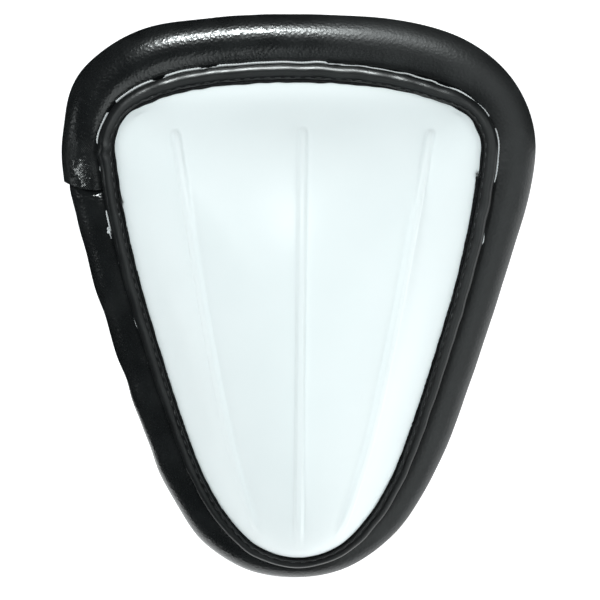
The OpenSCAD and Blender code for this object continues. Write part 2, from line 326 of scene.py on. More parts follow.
@dataclass(frozen=True)
class Vinyl:
    """Black vinyl with a fine pebble grain.

    The grain is pressed in, the crests of the grain are polished, and the sheet has
    soft patches where it is duller. Creases run slanting across the sheet at the lap.
    """

    name: str
    colour: tuple = (0.0075, 0.0085, 0.009)
    worn: tuple = (0.013, 0.0145, 0.015)
    roughness: float = 0.21
    grain: float = 0.75 * MM
    grain_depth: float = 0.08 * MM
    pressed_from: float = -1.0
    duller: float = 0.0
    duller_from: float = -12.0 * MM
    duller_to: float = 30.0 * MM
    crease_depth: float = 0.14 * MM
    crease_at: float = -1.0
    crease_reach: float = 13.0
    crease_pitch: float = 0.5
    crease_slant: float = 0.75

    def side(self, paint: Paint) -> Sum:
        """Gives how far right each point is, in metres."""
        return paint.add("ShaderNodeSeparateXYZ", values={"Vector": paint.place()}, output="X")

    def creases(self, paint: Paint) -> Sum:
        """Adds the fine slanting creases above the lap.

        Args:
            paint: The material's node tree.

        Returns:
            Their relief, from 0 to 1.
        """
        along, across = paint.sheet_place()
        wander = paint.noise(5 * MM, 1.0)
        phase = (along - across * self.crease_slant) / self.crease_pitch + 2.5 * wander
        ridge = 0.5 + 0.5 * (phase * math.tau).sine()
        near = 1.0 - (along - self.crease_at).fade(0.5, self.crease_reach)
        above = (along - self.crease_at).fade(-0.2, 0.2)
        band = (across.fade(3.0, 5.5)) * (1.0 - across.fade(10.5, 13.5))
        return ridge * near * above * band * paint.noise(2.4 * MM, 1.0).fade(0.3, 0.6)

    def material(self) -> bpy.types.Material:
        """Gives the material.

        Returns:
            The material.
        """
        paint = Paint(self.name)
        patches = paint.noise(9 * MM, 2.0)
        pebbles = paint.cells(self.grain)
        soft = paint.bump(paint.noise(4.5 * MM, 1.0), 0.05 * MM)
        grain = paint.bump(1.0 - pebbles, self.grain_depth, soft)
        normal = paint.bump(paint.noise(0.16 * MM, 1.0), 0.004 * MM, grain)
        rough = self.roughness + 0.08 * patches + 0.08 * pebbles
        if self.duller > 0:
            rough = rough + self.duller * self.side(paint).fade(self.duller_from, self.duller_to)
        if self.pressed_from > 0:
            pressed = paint.sheet_place()[1].fade(self.pressed_from, self.pressed_from + 0.8)
            rough = rough + 0.35 * pressed
        if self.crease_at > 0:
            normal = paint.bump(self.creases(paint), self.crease_depth, normal)
        return paint.finish(
            Base_Color=paint.tint(patches.fade(0.35, 0.8), self.colour, self.worn),
            Roughness=rough,
            Normal=normal,
            Specular_IOR_Level=0.5,
        )


@dataclass(frozen=True)
class Tape:
    """Black coated tape: a fine ribbed weave under a thin coat, greyer where it frays."""

    colour: tuple = (0.006, 0.0065, 0.007)
    frayed: tuple = (0.03, 0.032, 0.034)
    roughness: float = 0.62
    rib_pitch: float = 0.45

    def material(self) -> bpy.types.Material:
        """Gives the material.

        Returns:
            The material.
        """
        paint = Paint("tape")
        along, across = paint.sheet_place()
        ribs = 0.5 + 0.5 * (along * (math.tau / self.rib_pitch)).sine()
        threads = 0.5 + 0.5 * (across * (math.tau / (0.8 * self.rib_pitch))).sine()
        weave = 0.65 * ribs + 0.35 * threads
        fuzz = paint.noise(0.5 * MM, 4.0).fade(0.5, 0.75)
        lumps = paint.bump(paint.noise(1.8 * MM, 2.0), 0.12 * MM)
        return paint.finish(
            Base_Color=paint.tint(fuzz, self.colour, self.frayed),
            Roughness=self.roughness + 0.25 * fuzz,
            Normal=paint.bump(weave, 0.035 * MM, lumps),
            Specular_IOR_Level=0.06,
        )


class Fibre(Enum):
    """What a cord or thread is made of: name, colour of the painted shade between the strands,
    colour of the painted highlight on their crests, roughness, sheen.
    """

    COTTON = ("filler_cord", (0.58, 0.56, 0.5), (0.78, 0.76, 0.7), 0.85, 0.2)
    WHITE = ("seam_cord", (0.74, 0.77, 0.78), (0.93, 0.95, 0.95), 0.5, 0.1)
    BLACK = ("thread", (0.012, 0.013, 0.014), (0.05, 0.053, 0.055), 0.36, 0.05)


@dataclass(frozen=True)
class Yarn:
    """Twisted yarn: fine fibres that wind round the cord, with painted highlight on their crests
    and painted shade in the grooves between them.
    """

    fibre: Fibre
    twist: float = 0.55
    strand: float = 0.16

    def material(self) -> bpy.types.Material:
        """Gives the material.

        Returns:
            The material.
        """
        name, dark, light, roughness, sheen = self.fibre.value
        paint = Paint(name)
        along, across = paint.sheet_place()
        wander = paint.noise(0.7 * MM, 2.0)
        phase = (along * self.twist + across) / self.strand + 1.2 * wander
        strands = 0.5 + 0.5 * (phase * math.tau).sine()
        # The strands' relief also sets the colour: painted shade in the grooves between them,
        # painted highlight on their crests.
        return paint.finish(
            Base_Color=paint.tint(strands, dark, light),
            Roughness=roughness + 0.15 * wander,
            Normal=paint.bump(strands, 0.03 * MM),
            Sheen_Weight=sheen,
            Sheen_Roughness=0.4,
        )


@dataclass(frozen=True)
class Foam:
    """Dark closed-cell foam: small closed cells with thin walls, the hollows of the cells darker as
    painted shade.
    """

    # Colour of the raised cell walls, and of the cell hollows, which is darker as painted shade
    wall: tuple = (0.15, 0.155, 0.16)
    cell: tuple = (0.05, 0.052, 0.055)

    def material(self) -> bpy.types.Material:
        """Gives the material.

        Returns:
            The material.
        """
        paint = Paint("foam")
        large = paint.cells(0.9 * MM)
        small = paint.cells(0.4 * MM)
        relief = 0.6 * large + 0.4 * small
        # The cells' relief also sets the colour: painted shade in the hollows, lighter walls where
        # light falls.
        return paint.finish(
            Base_Color=paint.tint(relief, self.cell, self.wall),
            Roughness=0.85 + 0.1 * small,
            Normal=paint.bump(relief, 0.12 * MM),
            Specular_IOR_Level=0.25,
        )


@dataclass(frozen=True)
class Paper:
    """The plain white floor."""

    colour: tuple = (0.93, 0.93, 0.93)
    glow: float = 0.7

    def material(self) -> bpy.types.Material:
        """Gives the material.

        Returns:
            The material.
        """
        paint = Paint("floor_paper")
        grain = paint.noise(30 * MM, 2.0)
        return paint.finish(
            Base_Color=paint.tint(grain, self.colour, (0.95, 0.95, 0.95)),
            Roughness=0.9,
            Emission_Color=(1.0, 1.0, 1.0, 1.0),
            Emission_Strength=self.glow,
        )


# ---- Sums on many points ----


def smooth_step(values: np.ndarray, start: float, end: float) -> np.ndarray:
    """Gives a smooth step from 0 at start to 1 at end."""
    t = np.clip((values - start) / (end - start), 0.0, 1.0)
    return t * t * (3 - 2 * t)


def bell(values: np.ndarray, width: float) -> np.ndarray:
    """Gives a smooth bell: 1 at 0, and almost nothing past twice the width."""
    return np.exp(-((values / width) ** 2))


def unit(vectors: np.ndarray) -> np.ndarray:
    """Gives the vectors' directions, at length 1."""
    return vectors / np.linalg.norm(vectors, axis=-1, keepdims=True)


def flat(along: np.ndarray, across: np.ndarray) -> np.ndarray:
    """Pairs places along a sheet with places across it."""
    return np.stack(np.broadcast_arrays(along, across), axis=-1)


def run_up(steps: np.ndarray) -> np.ndarray:
    """Gives the lengths run up by a row of steps, from 0."""
    return np.concatenate([[0.0], np.cumsum(steps)])


def waves(turn: np.ndarray, lowest: int, highest: int, seed: int) -> np.ndarray:
    """Gives smooth waviness that closes after one turn.

    Args:
        turn: Place round the rim, where 1 is the whole way.
        lowest: The fewest waves in a turn.
        highest: The most waves in a turn.
        seed: Which waviness.

    Returns:
        Values mostly between -1 and 1.
    """
    rng = np.random.default_rng(seed)
    total = np.zeros_like(turn, dtype=float)
    power = 0.0
    for count in range(lowest, highest + 1):
        size, phase = rng.uniform(0.3, 1.0), rng.uniform(0.0, math.tau)
        total += size * np.sin(math.tau * count * turn + phase)
        power += size * size / 2
    return total / (1.7 * math.sqrt(power))


def curve_piece(rows: Callable[[int], np.ndarray], t: np.ndarray) -> np.ndarray:
    """Gives points on a smooth curve between two rows.

    Args:
        rows: Gives the row a number of steps on from the one before the point.
        t: How far each point is on its way to the next row.

    Returns:
        The points.
    """
    p0, p1, p2, p3 = (rows(step) for step in (-1, 0, 1, 2))
    return 0.5 * (
        2 * p1
        + (p2 - p0) * t
        + (2 * p0 - 5 * p1 + 4 * p2 - p3) * t**2
        + (3 * p1 - p0 - 3 * p2 + p3) * t**3
    )


def curve_through(rows: np.ndarray, place: np.ndarray, closed: bool) -> np.ndarray:
    """Gives points on the smooth curve through a list of rows.

    Args:
        rows: The rows that it passes through.
        place: Where, as a row number with a fraction.
        closed: Whether the last row is followed by the first.

    Returns:
        One row for each place.
    """
    count = len(rows)
    if not closed:
        place = np.clip(place, 0.0, count - 1 - 1e-9)
    whole = np.floor(place).astype(int)
    t = (place - whole)[..., None]

    def row(step: int) -> np.ndarray:
        """Gives the row a few steps on from each place."""
        at = whole + step
        return rows[at % count] if closed else rows[np.clip(at, 0, count - 1)]

    return curve_piece(row, t)


# ---- The rim's line ----


@dataclass(frozen=True)
class Sections:
    """Section frames at places round the rim, in arrays of the same shape.

    A section has its origin at the flange's edge: u goes up the flange and v out of its
    front. The roll lies under the edge.
    """

    edge: np.ndarray
    up: np.ndarray
    front: np.ndarray
    middle: np.ndarray
    radius: np.ndarray
    slope: np.ndarray

    def at(self, u: np.ndarray | float, v: np.ndarray | float) -> np.ndarray:
        """Gives the points at u up the flange and v off it."""
        u, v = np.asarray(u, float), np.asarray(v, float)
        return self.edge + self.up * u[..., None] + self.front * v[..., None]

    def on_roll(self, radius: np.ndarray, angle: np.ndarray) -> np.ndarray:
        """Gives the points at a radius and an angle in degrees from the roll's middle.

        Args:
            radius: The distances from the middle.
            angle: The angles.

        Returns:
            The points.
        """
        a = np.radians(angle)
        return (
            self.middle
            + self.up * (radius * np.cos(a))[..., None]
            + self.front * (radius * np.sin(a))[..., None]
        )


class RimLine:
    """The line of the padded rim, from the middle of the waist end round by the right side."""

    # x, y, radius of the roll and slope of the flange, in millimetres and degrees
    RIGHT_HALF = (
        (0, 77.6, 7.9, 24),
        (26, 76.3, 8.1, 25),
        (45, 71.3, 8.1, 28),
        (58.5, 61, 7.8, 36),
        (64.6, 46, 7.6, 46),
        (63.4, 29.5, 7.6, 50),
        (56.5, 4.5, 7.1, 55),
        (48, -21, 6.8, 58),
        (40.7, -41.3, 6.7, 60),
        (34, -55.3, 6.6, 64),
        (25.8, -66.7, 6.5, 68),
        (14, -74.9, 6.0, 76),
        (0, -77.5, 5.5, 80),
    )
    DRAWN_WIDTH = 129.9 * MM
    DRAWN_LENGTH = 155.0 * MM
    ROLL_GAP = 0.1 * MM
    ROLL_FLAT = 0.25 * MM
    STEP = 1 / 3
    CROWD_AT = 1.9
    CROWD_REACH = 1.15
    CROWD = 1.4 * MM

    def __init__(self, low: Vector, high: Vector) -> None:
        """Fits the line to the rim's box.

        Args:
            low: The box's lowest corner.
            high: Its highest corner.
        """
        fit_x = (high.x - low.x) / self.DRAWN_WIDTH
        fit_y = (high.y - low.y) / self.DRAWN_LENGTH
        right = np.array(self.RIGHT_HALF, float)
        left = right[-2:0:-1] * [-1, 1, 1, 1]
        self.rows = np.vstack([right, left]) * [fit_x * MM, fit_y * MM, MM, 1]
        self.places = np.linspace(0, ROWS, ROWS * 100 + 1)
        edge = self.sections(self.places).edge
        self.lengths = run_up(np.linalg.norm(np.diff(edge, axis=0), axis=1))
        self.length = self.lengths[-1]

    def sections(self, place: np.ndarray) -> Sections:
        """Gives the section frames at places on the line.

        Args:
            place: Row numbers with fractions, of any shape.

        Returns:
            The frames.
        """
        here = curve_through(self.rows, place, True)
        ahead = curve_through(self.rows, place + self.STEP, True)
        behind = curve_through(self.rows, place - self.STEP, True)
        run = unit((ahead - behind)[..., :2])
        radius, slope = here[..., 2], here[..., 3]
        tilt = np.radians(slope)
        out = np.stack([-run[..., 1], run[..., 0], np.zeros_like(radius)], axis=-1)
        lift = np.zeros_like(out)
        lift[..., 2] = 1.0
        up = -out * np.cos(tilt)[..., None] + lift * np.sin(tilt)[..., None]
        front = out * np.sin(tilt)[..., None] + lift * np.cos(tilt)[..., None]
        middle = -out * radius[..., None]
        middle[..., :2] += here[..., :2]
        middle[..., 2] = radius - self.ROLL_FLAT
        edge = middle + up * (radius + self.ROLL_GAP)[..., None]
        return Sections(edge, up, front, middle, radius, slope)

    def distance(self, place: np.ndarray | float) -> np.ndarray:
        """Gives the distance along the flange's edge of places on the line."""
        turns = np.floor(np.asarray(place, float) / ROWS)
        return np.interp(place - turns * ROWS, self.places, self.lengths) + turns * self.length

    def place(self, distance: np.ndarray) -> np.ndarray:
        """Gives the places at distances along the flange's edge."""
        turns = np.floor(distance / self.length)
        return np.interp(distance - turns * self.length, self.lengths, self.places) + turns * ROWS

    def at_turn(self, turn: np.ndarray) -> np.ndarray:
        """Gives the places at shares of a whole turn."""
        return self.place(turn * self.length)

    def grid(self, distance: np.ndarray, columns: int) -> Sections:
        """Gives the section frames for a sheet with its lines at these distances."""
        return self.sections(np.repeat(self.place(distance)[:, None], columns, axis=1))

    def crowd(self, place: np.ndarray) -> np.ndarray:
        """Gives how far the roll crowds the binding inwards at the right end of the waist."""
        gap = (np.asarray(place) - self.CROWD_AT + ROWS / 2) % ROWS - ROWS / 2
        return self.CROWD * bell(gap, self.CROWD_REACH)

    def spread(self, start: float, end: float, count: int) -> np.ndarray:
        """Gives evenly spaced distances between two places, both ends included."""
        return np.linspace(self.distance(start), self.distance(end), count)


# ---- Hand work on meshes ----


def deselect() -> None:
    """Leaves nothing selected."""
    if bpy.context.object and bpy.context.object.mode != "OBJECT":
        bpy.ops.object.mode_set(mode="OBJECT")
    bpy.ops.object.select_all(action="DESELECT")


def take(piece: bpy.types.Object) -> None:
    """Selects one piece and nothing else."""
    deselect()
    piece.select_set(True)
    bpy.context.view_layer.objects.active = piece


def points_of(piece: bpy.types.Object) -> np.ndarray:
    """Gives the places of a mesh's vertices."""
    flat = np.zeros(len(piece.data.vertices) * 3)
    piece.data.vertices.foreach_get("co", flat)
    return flat.reshape(-1, 3)


def set_points(piece: bpy.types.Object, points: np.ndarray) -> None:
    """Puts a mesh's vertices at new places."""
    piece.data.vertices.foreach_set("co", np.asarray(points, float).reshape(-1))
    piece.data.update()


def work_on(piece: bpy.types.Object, operation: Callable, **values: object) -> None:
    """Runs one operation on the whole of a piece's mesh.

    Args:
        piece: The piece.
        operation: The operation.
        values: The operation's settings.
    """
    take(piece)
    bpy.ops.object.mode_set(mode="EDIT")
    bpy.ops.mesh.select_all(action="SELECT")
    operation(**values)
    bpy.ops.mesh.select_all(action="DESELECT")
    bpy.ops.object.mode_set(mode="OBJECT")


def merge(piece: bpy.types.Object, reach: float = 0.001 * MM) -> None:
    """Merges vertices that lie in the same place."""
    work_on(piece, bpy.ops.mesh.remove_doubles, threshold=reach)


def modify(piece: bpy.types.Object, kind: str, **values: object) -> None:
    """Gives a piece a modifier and applies it.

    Args:
        piece: The piece.
        kind: Blender's name of the modifier.
        values: The modifier's settings.
    """
    take(piece)
    modifier = piece.modifiers.new(kind.lower(), kind)
    for name, value in values.items():
        setattr(modifier, name, value)
    bpy.ops.object.modifier_apply(modifier=modifier.name)


def primitive(kind: Callable, **values: object) -> bpy.types.Object:
    """Adds a primitive.

    Args:
        kind: The operation that adds it.
        values: Its sizes.

    Returns:
        The primitive, with its place and turn applied.
    """
    deselect()
    kind(**values)
    bpy.ops.object.transform_apply(location=True, rotation=True, scale=True)
    return bpy.context.object


def copy_of(model: bpy.types.Object) -> bpy.types.Object:
    """Gives a copy of a modelled piece, with a mesh of its own.

    Args:
        model: The piece.

    Returns:
        The copy.
    """
    copy = model.copy()
    copy.data = model.data.copy()
    bpy.context.scene.collection.objects.link(copy)
    return copy


def set_spread(piece: bpy.types.Object, spread: np.ndarray) -> None:
    """Notes each vertex's place on the flat sheet.

    Args:
        piece: The piece.
        spread: The places, along the rim and across it.
    """
    layer = piece.data.uv_layers.active
    layer.name = "sheet"
    corners = np.zeros(len(piece.data.loops), int)
    piece.data.loops.foreach_get("vertex_index", corners)
    layer.data.foreach_set("uv", spread.reshape(-1, 2)[corners].reshape(-1))


def lay_sheet(
    name: str, points: np.ndarray, spread: np.ndarray, closed: bool = False
) -> bpy.types.Object:
    """Lays a grid primitive along the given lines.

    The sheet's front is on the side that the lines' order turns clockwise to: on the rim
    that is the outside where u grows, or where the angle on the roll falls.

    Args:
        name: The piece's name.
        points: The vertices' places, as lines of points.
        spread: Each vertex's place on the flat sheet, in metres.
        closed: Whether the last line lies on the first one, or the last column on the first.

    Returns:
        The piece.
    """
    lines, columns = points.shape[:2]
    low, high = points.min((0, 1)), points.max((0, 1))
    piece = primitive(
        bpy.ops.mesh.primitive_grid_add,
        x_subdivisions=columns - 1,
        y_subdivisions=lines - 1,
        size=float(max(high - low)),
        location=tuple((low + high) / 2),
    )
    piece.name = piece.data.name = name
    set_points(piece, points)
    set_spread(piece, spread)
    if closed:
        merge(piece)
    return piece


def thicken(piece: bpy.types.Object, wall: float, **values: object) -> None:
    """Gives a sheet its thickness, behind its front."""
    modify(piece, "SOLIDIFY", thickness=wall, offset=-1.0, use_even_offset=True, **values)


def smooth(piece: bpy.types.Object, angle: float = 45.0) -> None:
    """Shades a piece smooth, apart from edges sharper than an angle in degrees."""
    take(piece)
    bpy.ops.object.shade_smooth_by_angle(angle=math.radians(angle))


def join(pieces: list[bpy.types.Object], name: str) -> bpy.types.Object:
    """Joins pieces into one.

    Args:
        pieces: The pieces.
        name: The name of the joined piece.

    Returns:
        The joined piece.
    """
    deselect()
    for piece in pieces:
        piece.select_set(True)
    bpy.context.view_layer.objects.active = pieces[0]
    bpy.ops.object.join()
    pieces[0].name = pieces[0].data.name = name
    return pieces[0]


def dress(piece: bpy.types.Object, material: bpy.types.Material) -> None:
    """Gives a piece its only material."""
    piece.data.materials.clear()
    piece.data.materials.append(material)


class Part:
    """What the pieces share: each is built, dressed in its finish and put in the frame."""

    finish: object

    def build(self) -> bpy.types.Object:
        """Builds the piece."""
        raise NotImplementedError

    def dress(self, piece: bpy.types.Object) -> None:
        """Gives the piece its finish."""
        dress(piece, self.finish.material())

    def make(self, slot: str, node: str = "") -> bpy.types.Object:
        """Builds and dresses the piece and puts it in the frame.

        Args:
            slot: Not used.
            node: The CAD node that it stands for, or nothing.

        Returns:
            The piece.
        """
        piece = self.build()
        self.dress(piece)
        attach(piece, "root")
        if node:
            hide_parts(node)
        LOG.info("%s: %d faces", piece.name, len(piece.data.polygons))
        return piece


# ---- The shell ----


class Dome:
    """The shell's middle surface over the plan: its height at any point."""

    SUMMIT_SHIFT = 8.0 * MM
    SUMMIT_RISE = 48.8 * MM
    FLANGE_WIDTH = 6.5 * MM
    EGG_HALF_WIDTH = 43.0 * MM
    EGG_HALF_LENGTH = 62.0 * MM
    EGG_WIDENING = 4.0 * MM
    EGG_POWER = 2
    SOFT_SPREAD = 5
    SOFT_BY = 0.5
    FULLNESS = 0.55
    CAD_STATIONS = 72
    DIRECTIONS = 720
    TIMES = 160
    REACHES = 260
    BEYOND = 1.15

    def __init__(self, rim: RimLine) -> None:
        """Works out the table of heights.

        Args:
            rim: The rim's line.
        """
        self.rim = rim
        self.summit = np.array([0.0, -self.SUMMIT_SHIFT])
        coarse = self._meridians(np.arange(self.CAD_STATIONS) * ROWS / self.CAD_STATIONS)
        for _ in range(2):
            shifts = range(-self.SOFT_SPREAD, self.SOFT_SPREAD + 1)
            coarse = sum(np.roll(coarse, shift, axis=0) for shift in shifts) / len(shifts)
        places = np.arange(self.DIRECTIONS) * ROWS / self.DIRECTIONS
        own = self._meridians(places)
        soft = curve_through(coarse, places * self.CAD_STATIONS / ROWS, True)
        times = np.linspace(0.0, 1.0, self.TIMES)
        shares = np.linspace(0.0, self.BEYOND, self.REACHES)
        self.heights = np.zeros((self.DIRECTIONS, self.REACHES))
        for k in range(self.DIRECTIONS):
            share, height = self._curve(own[k], soft[k], times)
            inside = np.interp(shares, share[::-1], height[::-1])
            slant = math.tan(own[k, 3]) * own[k, 0]
            beyond = own[k, 2] - (shares - 1.0) * slant
            self.heights[k] = np.where(shares <= 1.0, inside, beyond)
        self.reach = own[:, 0]
        top = self.flange_top(places)[:, :2] - self.summit
        angle = np.unwrap(np.arctan2(top[:, 1], top[:, 0]))
        self.angles = np.concatenate([angle, [angle[0] - math.tau]])

    def flange_top(self, place: np.ndarray) -> np.ndarray:
        """Gives the points of the flange's inner line."""
        return self.rim.sections(place).at(self.FLANGE_WIDTH, 0.0)

    def _meridians(self, place: np.ndarray) -> np.ndarray:
        """Gives each meridian's reach, egg's reach, height and slope at the flange.

        Args:
            place: Places round the rim.

        Returns:
            One row for each place.
        """
        top = self.flange_top(place)
        out = top[:, :2] - self.summit
        reach = np.linalg.norm(out, axis=1)
        out = out / reach[:, None]
        half_width = self.EGG_HALF_WIDTH + self.EGG_WIDENING * out[:, 1]
        egg = 1 / np.hypot(out[:, 0] / half_width, out[:, 1] / self.EGG_HALF_LENGTH)
        section = self.rim.sections(place)
        outward = unit(section.front[:, :2])
        tilt = np.radians(section.slope)
        slope = np.arctan(np.tan(tilt) * (out * outward).sum(1))
        return np.stack([reach, egg, top[:, 2], slope], axis=1)

    def _own_curve(self, m: np.ndarray, t: np.ndarray) -> np.ndarray:
        """Gives a meridian's own curve, as share of the reach and height.

        Args:
            m: The meridian's row.
            t: Places on the curve, from 0 to 1.

        Returns:
            One row for each place.
        """
        growth = m[1] + (m[0] - m[1]) * (self.EGG_POWER + 1)
        pull = m[1] / 3
        knots = np.array(
            [
                [1.0, m[2]],
                [1 - pull * math.cos(m[3]) / growth, m[2] + pull * math.sin(m[3])],
                [self.FULLNESS, self.SUMMIT_RISE],
                [0.0, self.SUMMIT_RISE],
            ]
        )
        s = 1 - t
        return np.stack([s**3, 3 * t * s**2, 3 * t * t * s, t**3], axis=1) @ knots

    def _curve(
        self, own: np.ndarray, soft: np.ndarray, t: np.ndarray
    ) -> tuple[np.ndarray, np.ndarray]:
        """Gives the dome's curve on one meridian: share of its reach, and height.

        Args:
            own: The meridian's row.
            soft: The row that it softens towards.
            t: Places on the curve, from 0 to 1.

        Returns:
            The shares and the heights.
        """
        w = smooth_step(t, 0.0, self.SOFT_BY)[:, None]
        p = self._own_curve(own, t) * (1 - w) + self._own_curve(soft, t) * w
        f = p[:, 0]
        distance = f * own[1] + (own[0] - own[1]) * f ** (self.EGG_POWER + 1)
        return distance / own[0], p[:, 1]

    def height(self, plan: np.ndarray) -> np.ndarray:
        """Gives the height of the middle surface over points of the plan.

        Args:
            plan: Pairs of x and y, in an array of any shape.

        Returns:
            The heights.
        """
        out = plan - self.summit
        distance = np.linalg.norm(out, axis=-1)
        angle = np.arctan2(out[..., 1], out[..., 0])
        angle = angle - math.tau * np.ceil((angle - self.angles[0]) / math.tau)
        k = np.interp(-angle, -self.angles, np.arange(self.DIRECTIONS + 1.0))
        low = np.minimum(np.floor(k).astype(int), self.DIRECTIONS - 1)
        part = k - low
        first, second = low, (low + 1) % self.DIRECTIONS
        reach = self.reach[first] * (1 - part) + self.reach[second] * part
        f = np.clip(distance / reach / self.BEYOND, 0.0, 1.0) * (self.REACHES - 1)
        step = np.minimum(np.floor(f).astype(int), self.REACHES - 2)
        rest = f - step

        def along(direction: np.ndarray) -> np.ndarray:
            """Gives the heights on the given meridians."""
            below, above = self.heights[direction, step], self.heights[direction, step + 1]
            return below * (1 - rest) + above * rest

        return along(first) * (1 - part) + along(second) * part

    def surface(self, plan: np.ndarray) -> tuple[np.ndarray, np.ndarray]:
        """Gives the points and normals of the middle surface over points of the plan.

        Args:
            plan: The points.

        Returns:
            The points and the normals.
        """
        h = 0.5 * MM
        slopes = []
        for axis in (np.array([h, 0.0]), np.array([0.0, h])):
            slopes.append((self.height(plan + axis) - self.height(plan - axis)) / (2 * h))
        normal = np.stack([-slopes[0], -slopes[1], np.ones_like(slopes[0])], axis=-1)
        return np.concatenate([plan, self.height(plan)[..., None]], axis=-1), unit(normal)


@dataclass
class CupShell(Part):
    """The moulded shell with its three ribs and the flange that the binding is sewn to."""

    rim: RimLine
    wall: float = 2.4 * MM
    corner: float = 3.1
    tip_corner: float = 10.3
    side_lines: int = 118
    gap_steps: tuple = (6, 14, 14, 6)
    band_steps: int = 24
    band_waist: float = 4.2 * MM
    band_tip: float = 2.1 * MM
    rib_foot: float = 1.55 * MM
    rib_top: float = 0.45 * MM
    rib_head: float = 1.6 * MM
    rib_rise: float = 1.1 * MM
    rib_lean: float = 1.7 * MM
    rib_ease: float = 7.0 * MM
    flange_lines: tuple = (-0.7, -0.3, 0.6, 2.0, 3.5, 5.0)
    finish: ShellPlastic = ShellPlastic()

    # The right rib and the middle one, from the waist end to the tip, in millimetres
    SIDE_ROUTE = ((34.7, 45), (31, 25), (26, -3), (20, -33), (15.2, -51), (10.6, -65.5))
    MIDDLE_ROUTE = ((0, 45.5), (0, 20), (0, -10), (0, -40), (0, -60), (0, -67.5))

    def routes(self) -> list[np.ndarray]:
        """Gives the lines of the left, middle and right rib in plan.

        Returns:
            The points of each line.
        """
        side = np.array(self.SIDE_ROUTE, float) * MM
        middle = np.array(self.MIDDLE_ROUTE, float) * MM
        drawn = [side * [-1, 1], middle, side]
        lean = self.rib_lean / RimLine.DRAWN_LENGTH
        tip = RimLine.DRAWN_LENGTH / 2
        return [
            np.stack([line[:, 0] + lean * (line[:, 1] + tip), line[:, 1]], axis=1) for line in drawn
        ]

    def rib_x(self, drawn: np.ndarray, y: np.ndarray) -> np.ndarray:
        """Gives a rib's x at heights y of the plan, run on straight past its ends.

        Args:
            drawn: The rib's line.
            y: The heights.

        Returns:
            x at each height.
        """
        route = curve_through(drawn, np.linspace(0, len(drawn) - 1, 61), False)
        x = np.interp(y, route[::-1, 1], route[::-1, 0])
        first = (route[0, 0] - route[1, 0]) / (route[0, 1] - route[1, 1])
        last = (route[-1, 0] - route[-2, 0]) / (route[-1, 1] - route[-2, 1])
        x = x + np.maximum(y - route[0, 1], 0.0) * first
        return x + np.minimum(y - route[-1, 1], 0.0) * last

    def column_x(self, left: np.ndarray, right: np.ndarray, y: np.ndarray) -> np.ndarray:
        """Gives the columns' x: close together over each rib and wide between them.

        Args:
            left: x of the left border on each line.
            right: x of the right border on each line.
            y: y of each vertex.

        Returns:
            x of each vertex.
        """
        tall = smooth_step(y, -68 * MM, 60 * MM)
        half = self.band_tip + (self.band_waist - self.band_tip) * tall
        knots = [np.broadcast_to(left[:, None], y.shape)]
        for route in self.routes():
            middle = self.rib_x(route, y)
            knots += [middle - half, middle + half]
        knots.append(np.broadcast_to(right[:, None], y.shape))
        counts = []
        for gap in self.gap_steps:
            counts += [gap, self.band_steps]
        counts.pop()
        steps = [i + np.arange(1, n + 1) / n for i, n in enumerate(counts)]
        columns = []
        for j, p in enumerate(np.concatenate([[0.0], *steps])):
            i = min(int(p), len(counts) - 1)
            t = p - i
            columns.append(knots[i][:, j] * (1 - t) + knots[i + 1][:, j] * t)
        return np.stack(columns, axis=1)

    def column_count(self) -> int:
        """Gives how many columns of vertices there are."""
        return sum(self.gap_steps) + 3 * self.band_steps + 1

    def border(self, dome: Dome, start: float, end: float) -> np.ndarray:
        """Gives places on the waist's or tip's border line whose x fits the columns.

        Args:
            dome: The dome.
            start: Place of the left corner.
            end: Place of the right corner.

        Returns:
            The places, from left to right.
        """
        fine = np.linspace(start, end, 801)
        top = dome.flange_top(fine)
        y = np.full((1, self.column_count()), top[400, 1])
        for _ in range(6):
            x = self.column_x(top[:1, 0], top[-1:, 0], y)
            place = np.interp(x[0], top[:, 0], fine)
            y = dome.flange_top(place)[None, :, 1]
        return place

    def plan(self, dome: Dome) -> tuple[np.ndarray, np.ndarray]:
        """Gives the vertices in plan, from the tip up, and the places of the border.

        Args:
            dome: The dome.

        Returns:
            The plan, and the border's places in order round the rim.
        """
        waist = self.border(dome, -self.corner, self.corner)
        tip = self.border(dome, ROWS - self.tip_corner, self.tip_corner)
        right = self.rim.place(self.rim.spread(self.corner, self.tip_corner, self.side_lines))
        left = ROWS - right
        b = np.linspace(0.0, 1.0, self.side_lines)[:, None]
        top, bottom = dome.flange_top(waist), dome.flange_top(tip)
        side_l, side_r = dome.flange_top(left), dome.flange_top(right)
        a_top = (top[:, 0] - top[0, 0]) / (top[-1, 0] - top[0, 0])
        a_low = (bottom[:, 0] - bottom[0, 0]) / (bottom[-1, 0] - bottom[0, 0])
        a = a_top * (1 - b) + a_low * b
        y = (
            (1 - b) * top[:, 1]
            + b * bottom[:, 1]
            + (1 - a) * side_l[:, 1:2]
            + a * side_r[:, 1:2]
            - (1 - b) * ((1 - a) * top[0, 1] + a * top[-1, 1])
            - b * ((1 - a) * bottom[0, 1] + a * bottom[-1, 1])
        )
        x = self.column_x(side_l[:, 0], side_r[:, 0], y)
        x[0], x[-1] = top[:, 0], bottom[:, 0]
        ring = np.concatenate([waist[:-1], right[:-1], tip[::-1][:-1], left[::-1]])
        return np.stack([x, y], axis=-1)[::-1], ring

    def rib_height(self, plan: np.ndarray) -> np.ndarray:
        """Gives how far the ribs stand up over points of the plan.

        Args:
            plan: The points.

        Returns:
            How far each point is raised.
        """
        total = np.zeros(plan.shape[:-1])
        for route in self.routes():
            x, y = plan[..., 0], plan[..., 1]
            lean = (self.rib_x(route, y + MM) - self.rib_x(route, y - MM)) / (2 * MM)
            away = np.abs(x - self.rib_x(route, y)) / np.hypot(1.0, lean)
            head = np.maximum(y - route[0, 1] + self.rib_head, 0.0)
            away = np.hypot(away, head)
            tail = smooth_step(y - route[-1, 1], -0.15 * self.rib_ease, self.rib_ease)
            lift = smooth_step(away, self.rib_foot, self.rib_top)
            total = np.maximum(total, lift * tail)
        return total * self.rib_rise

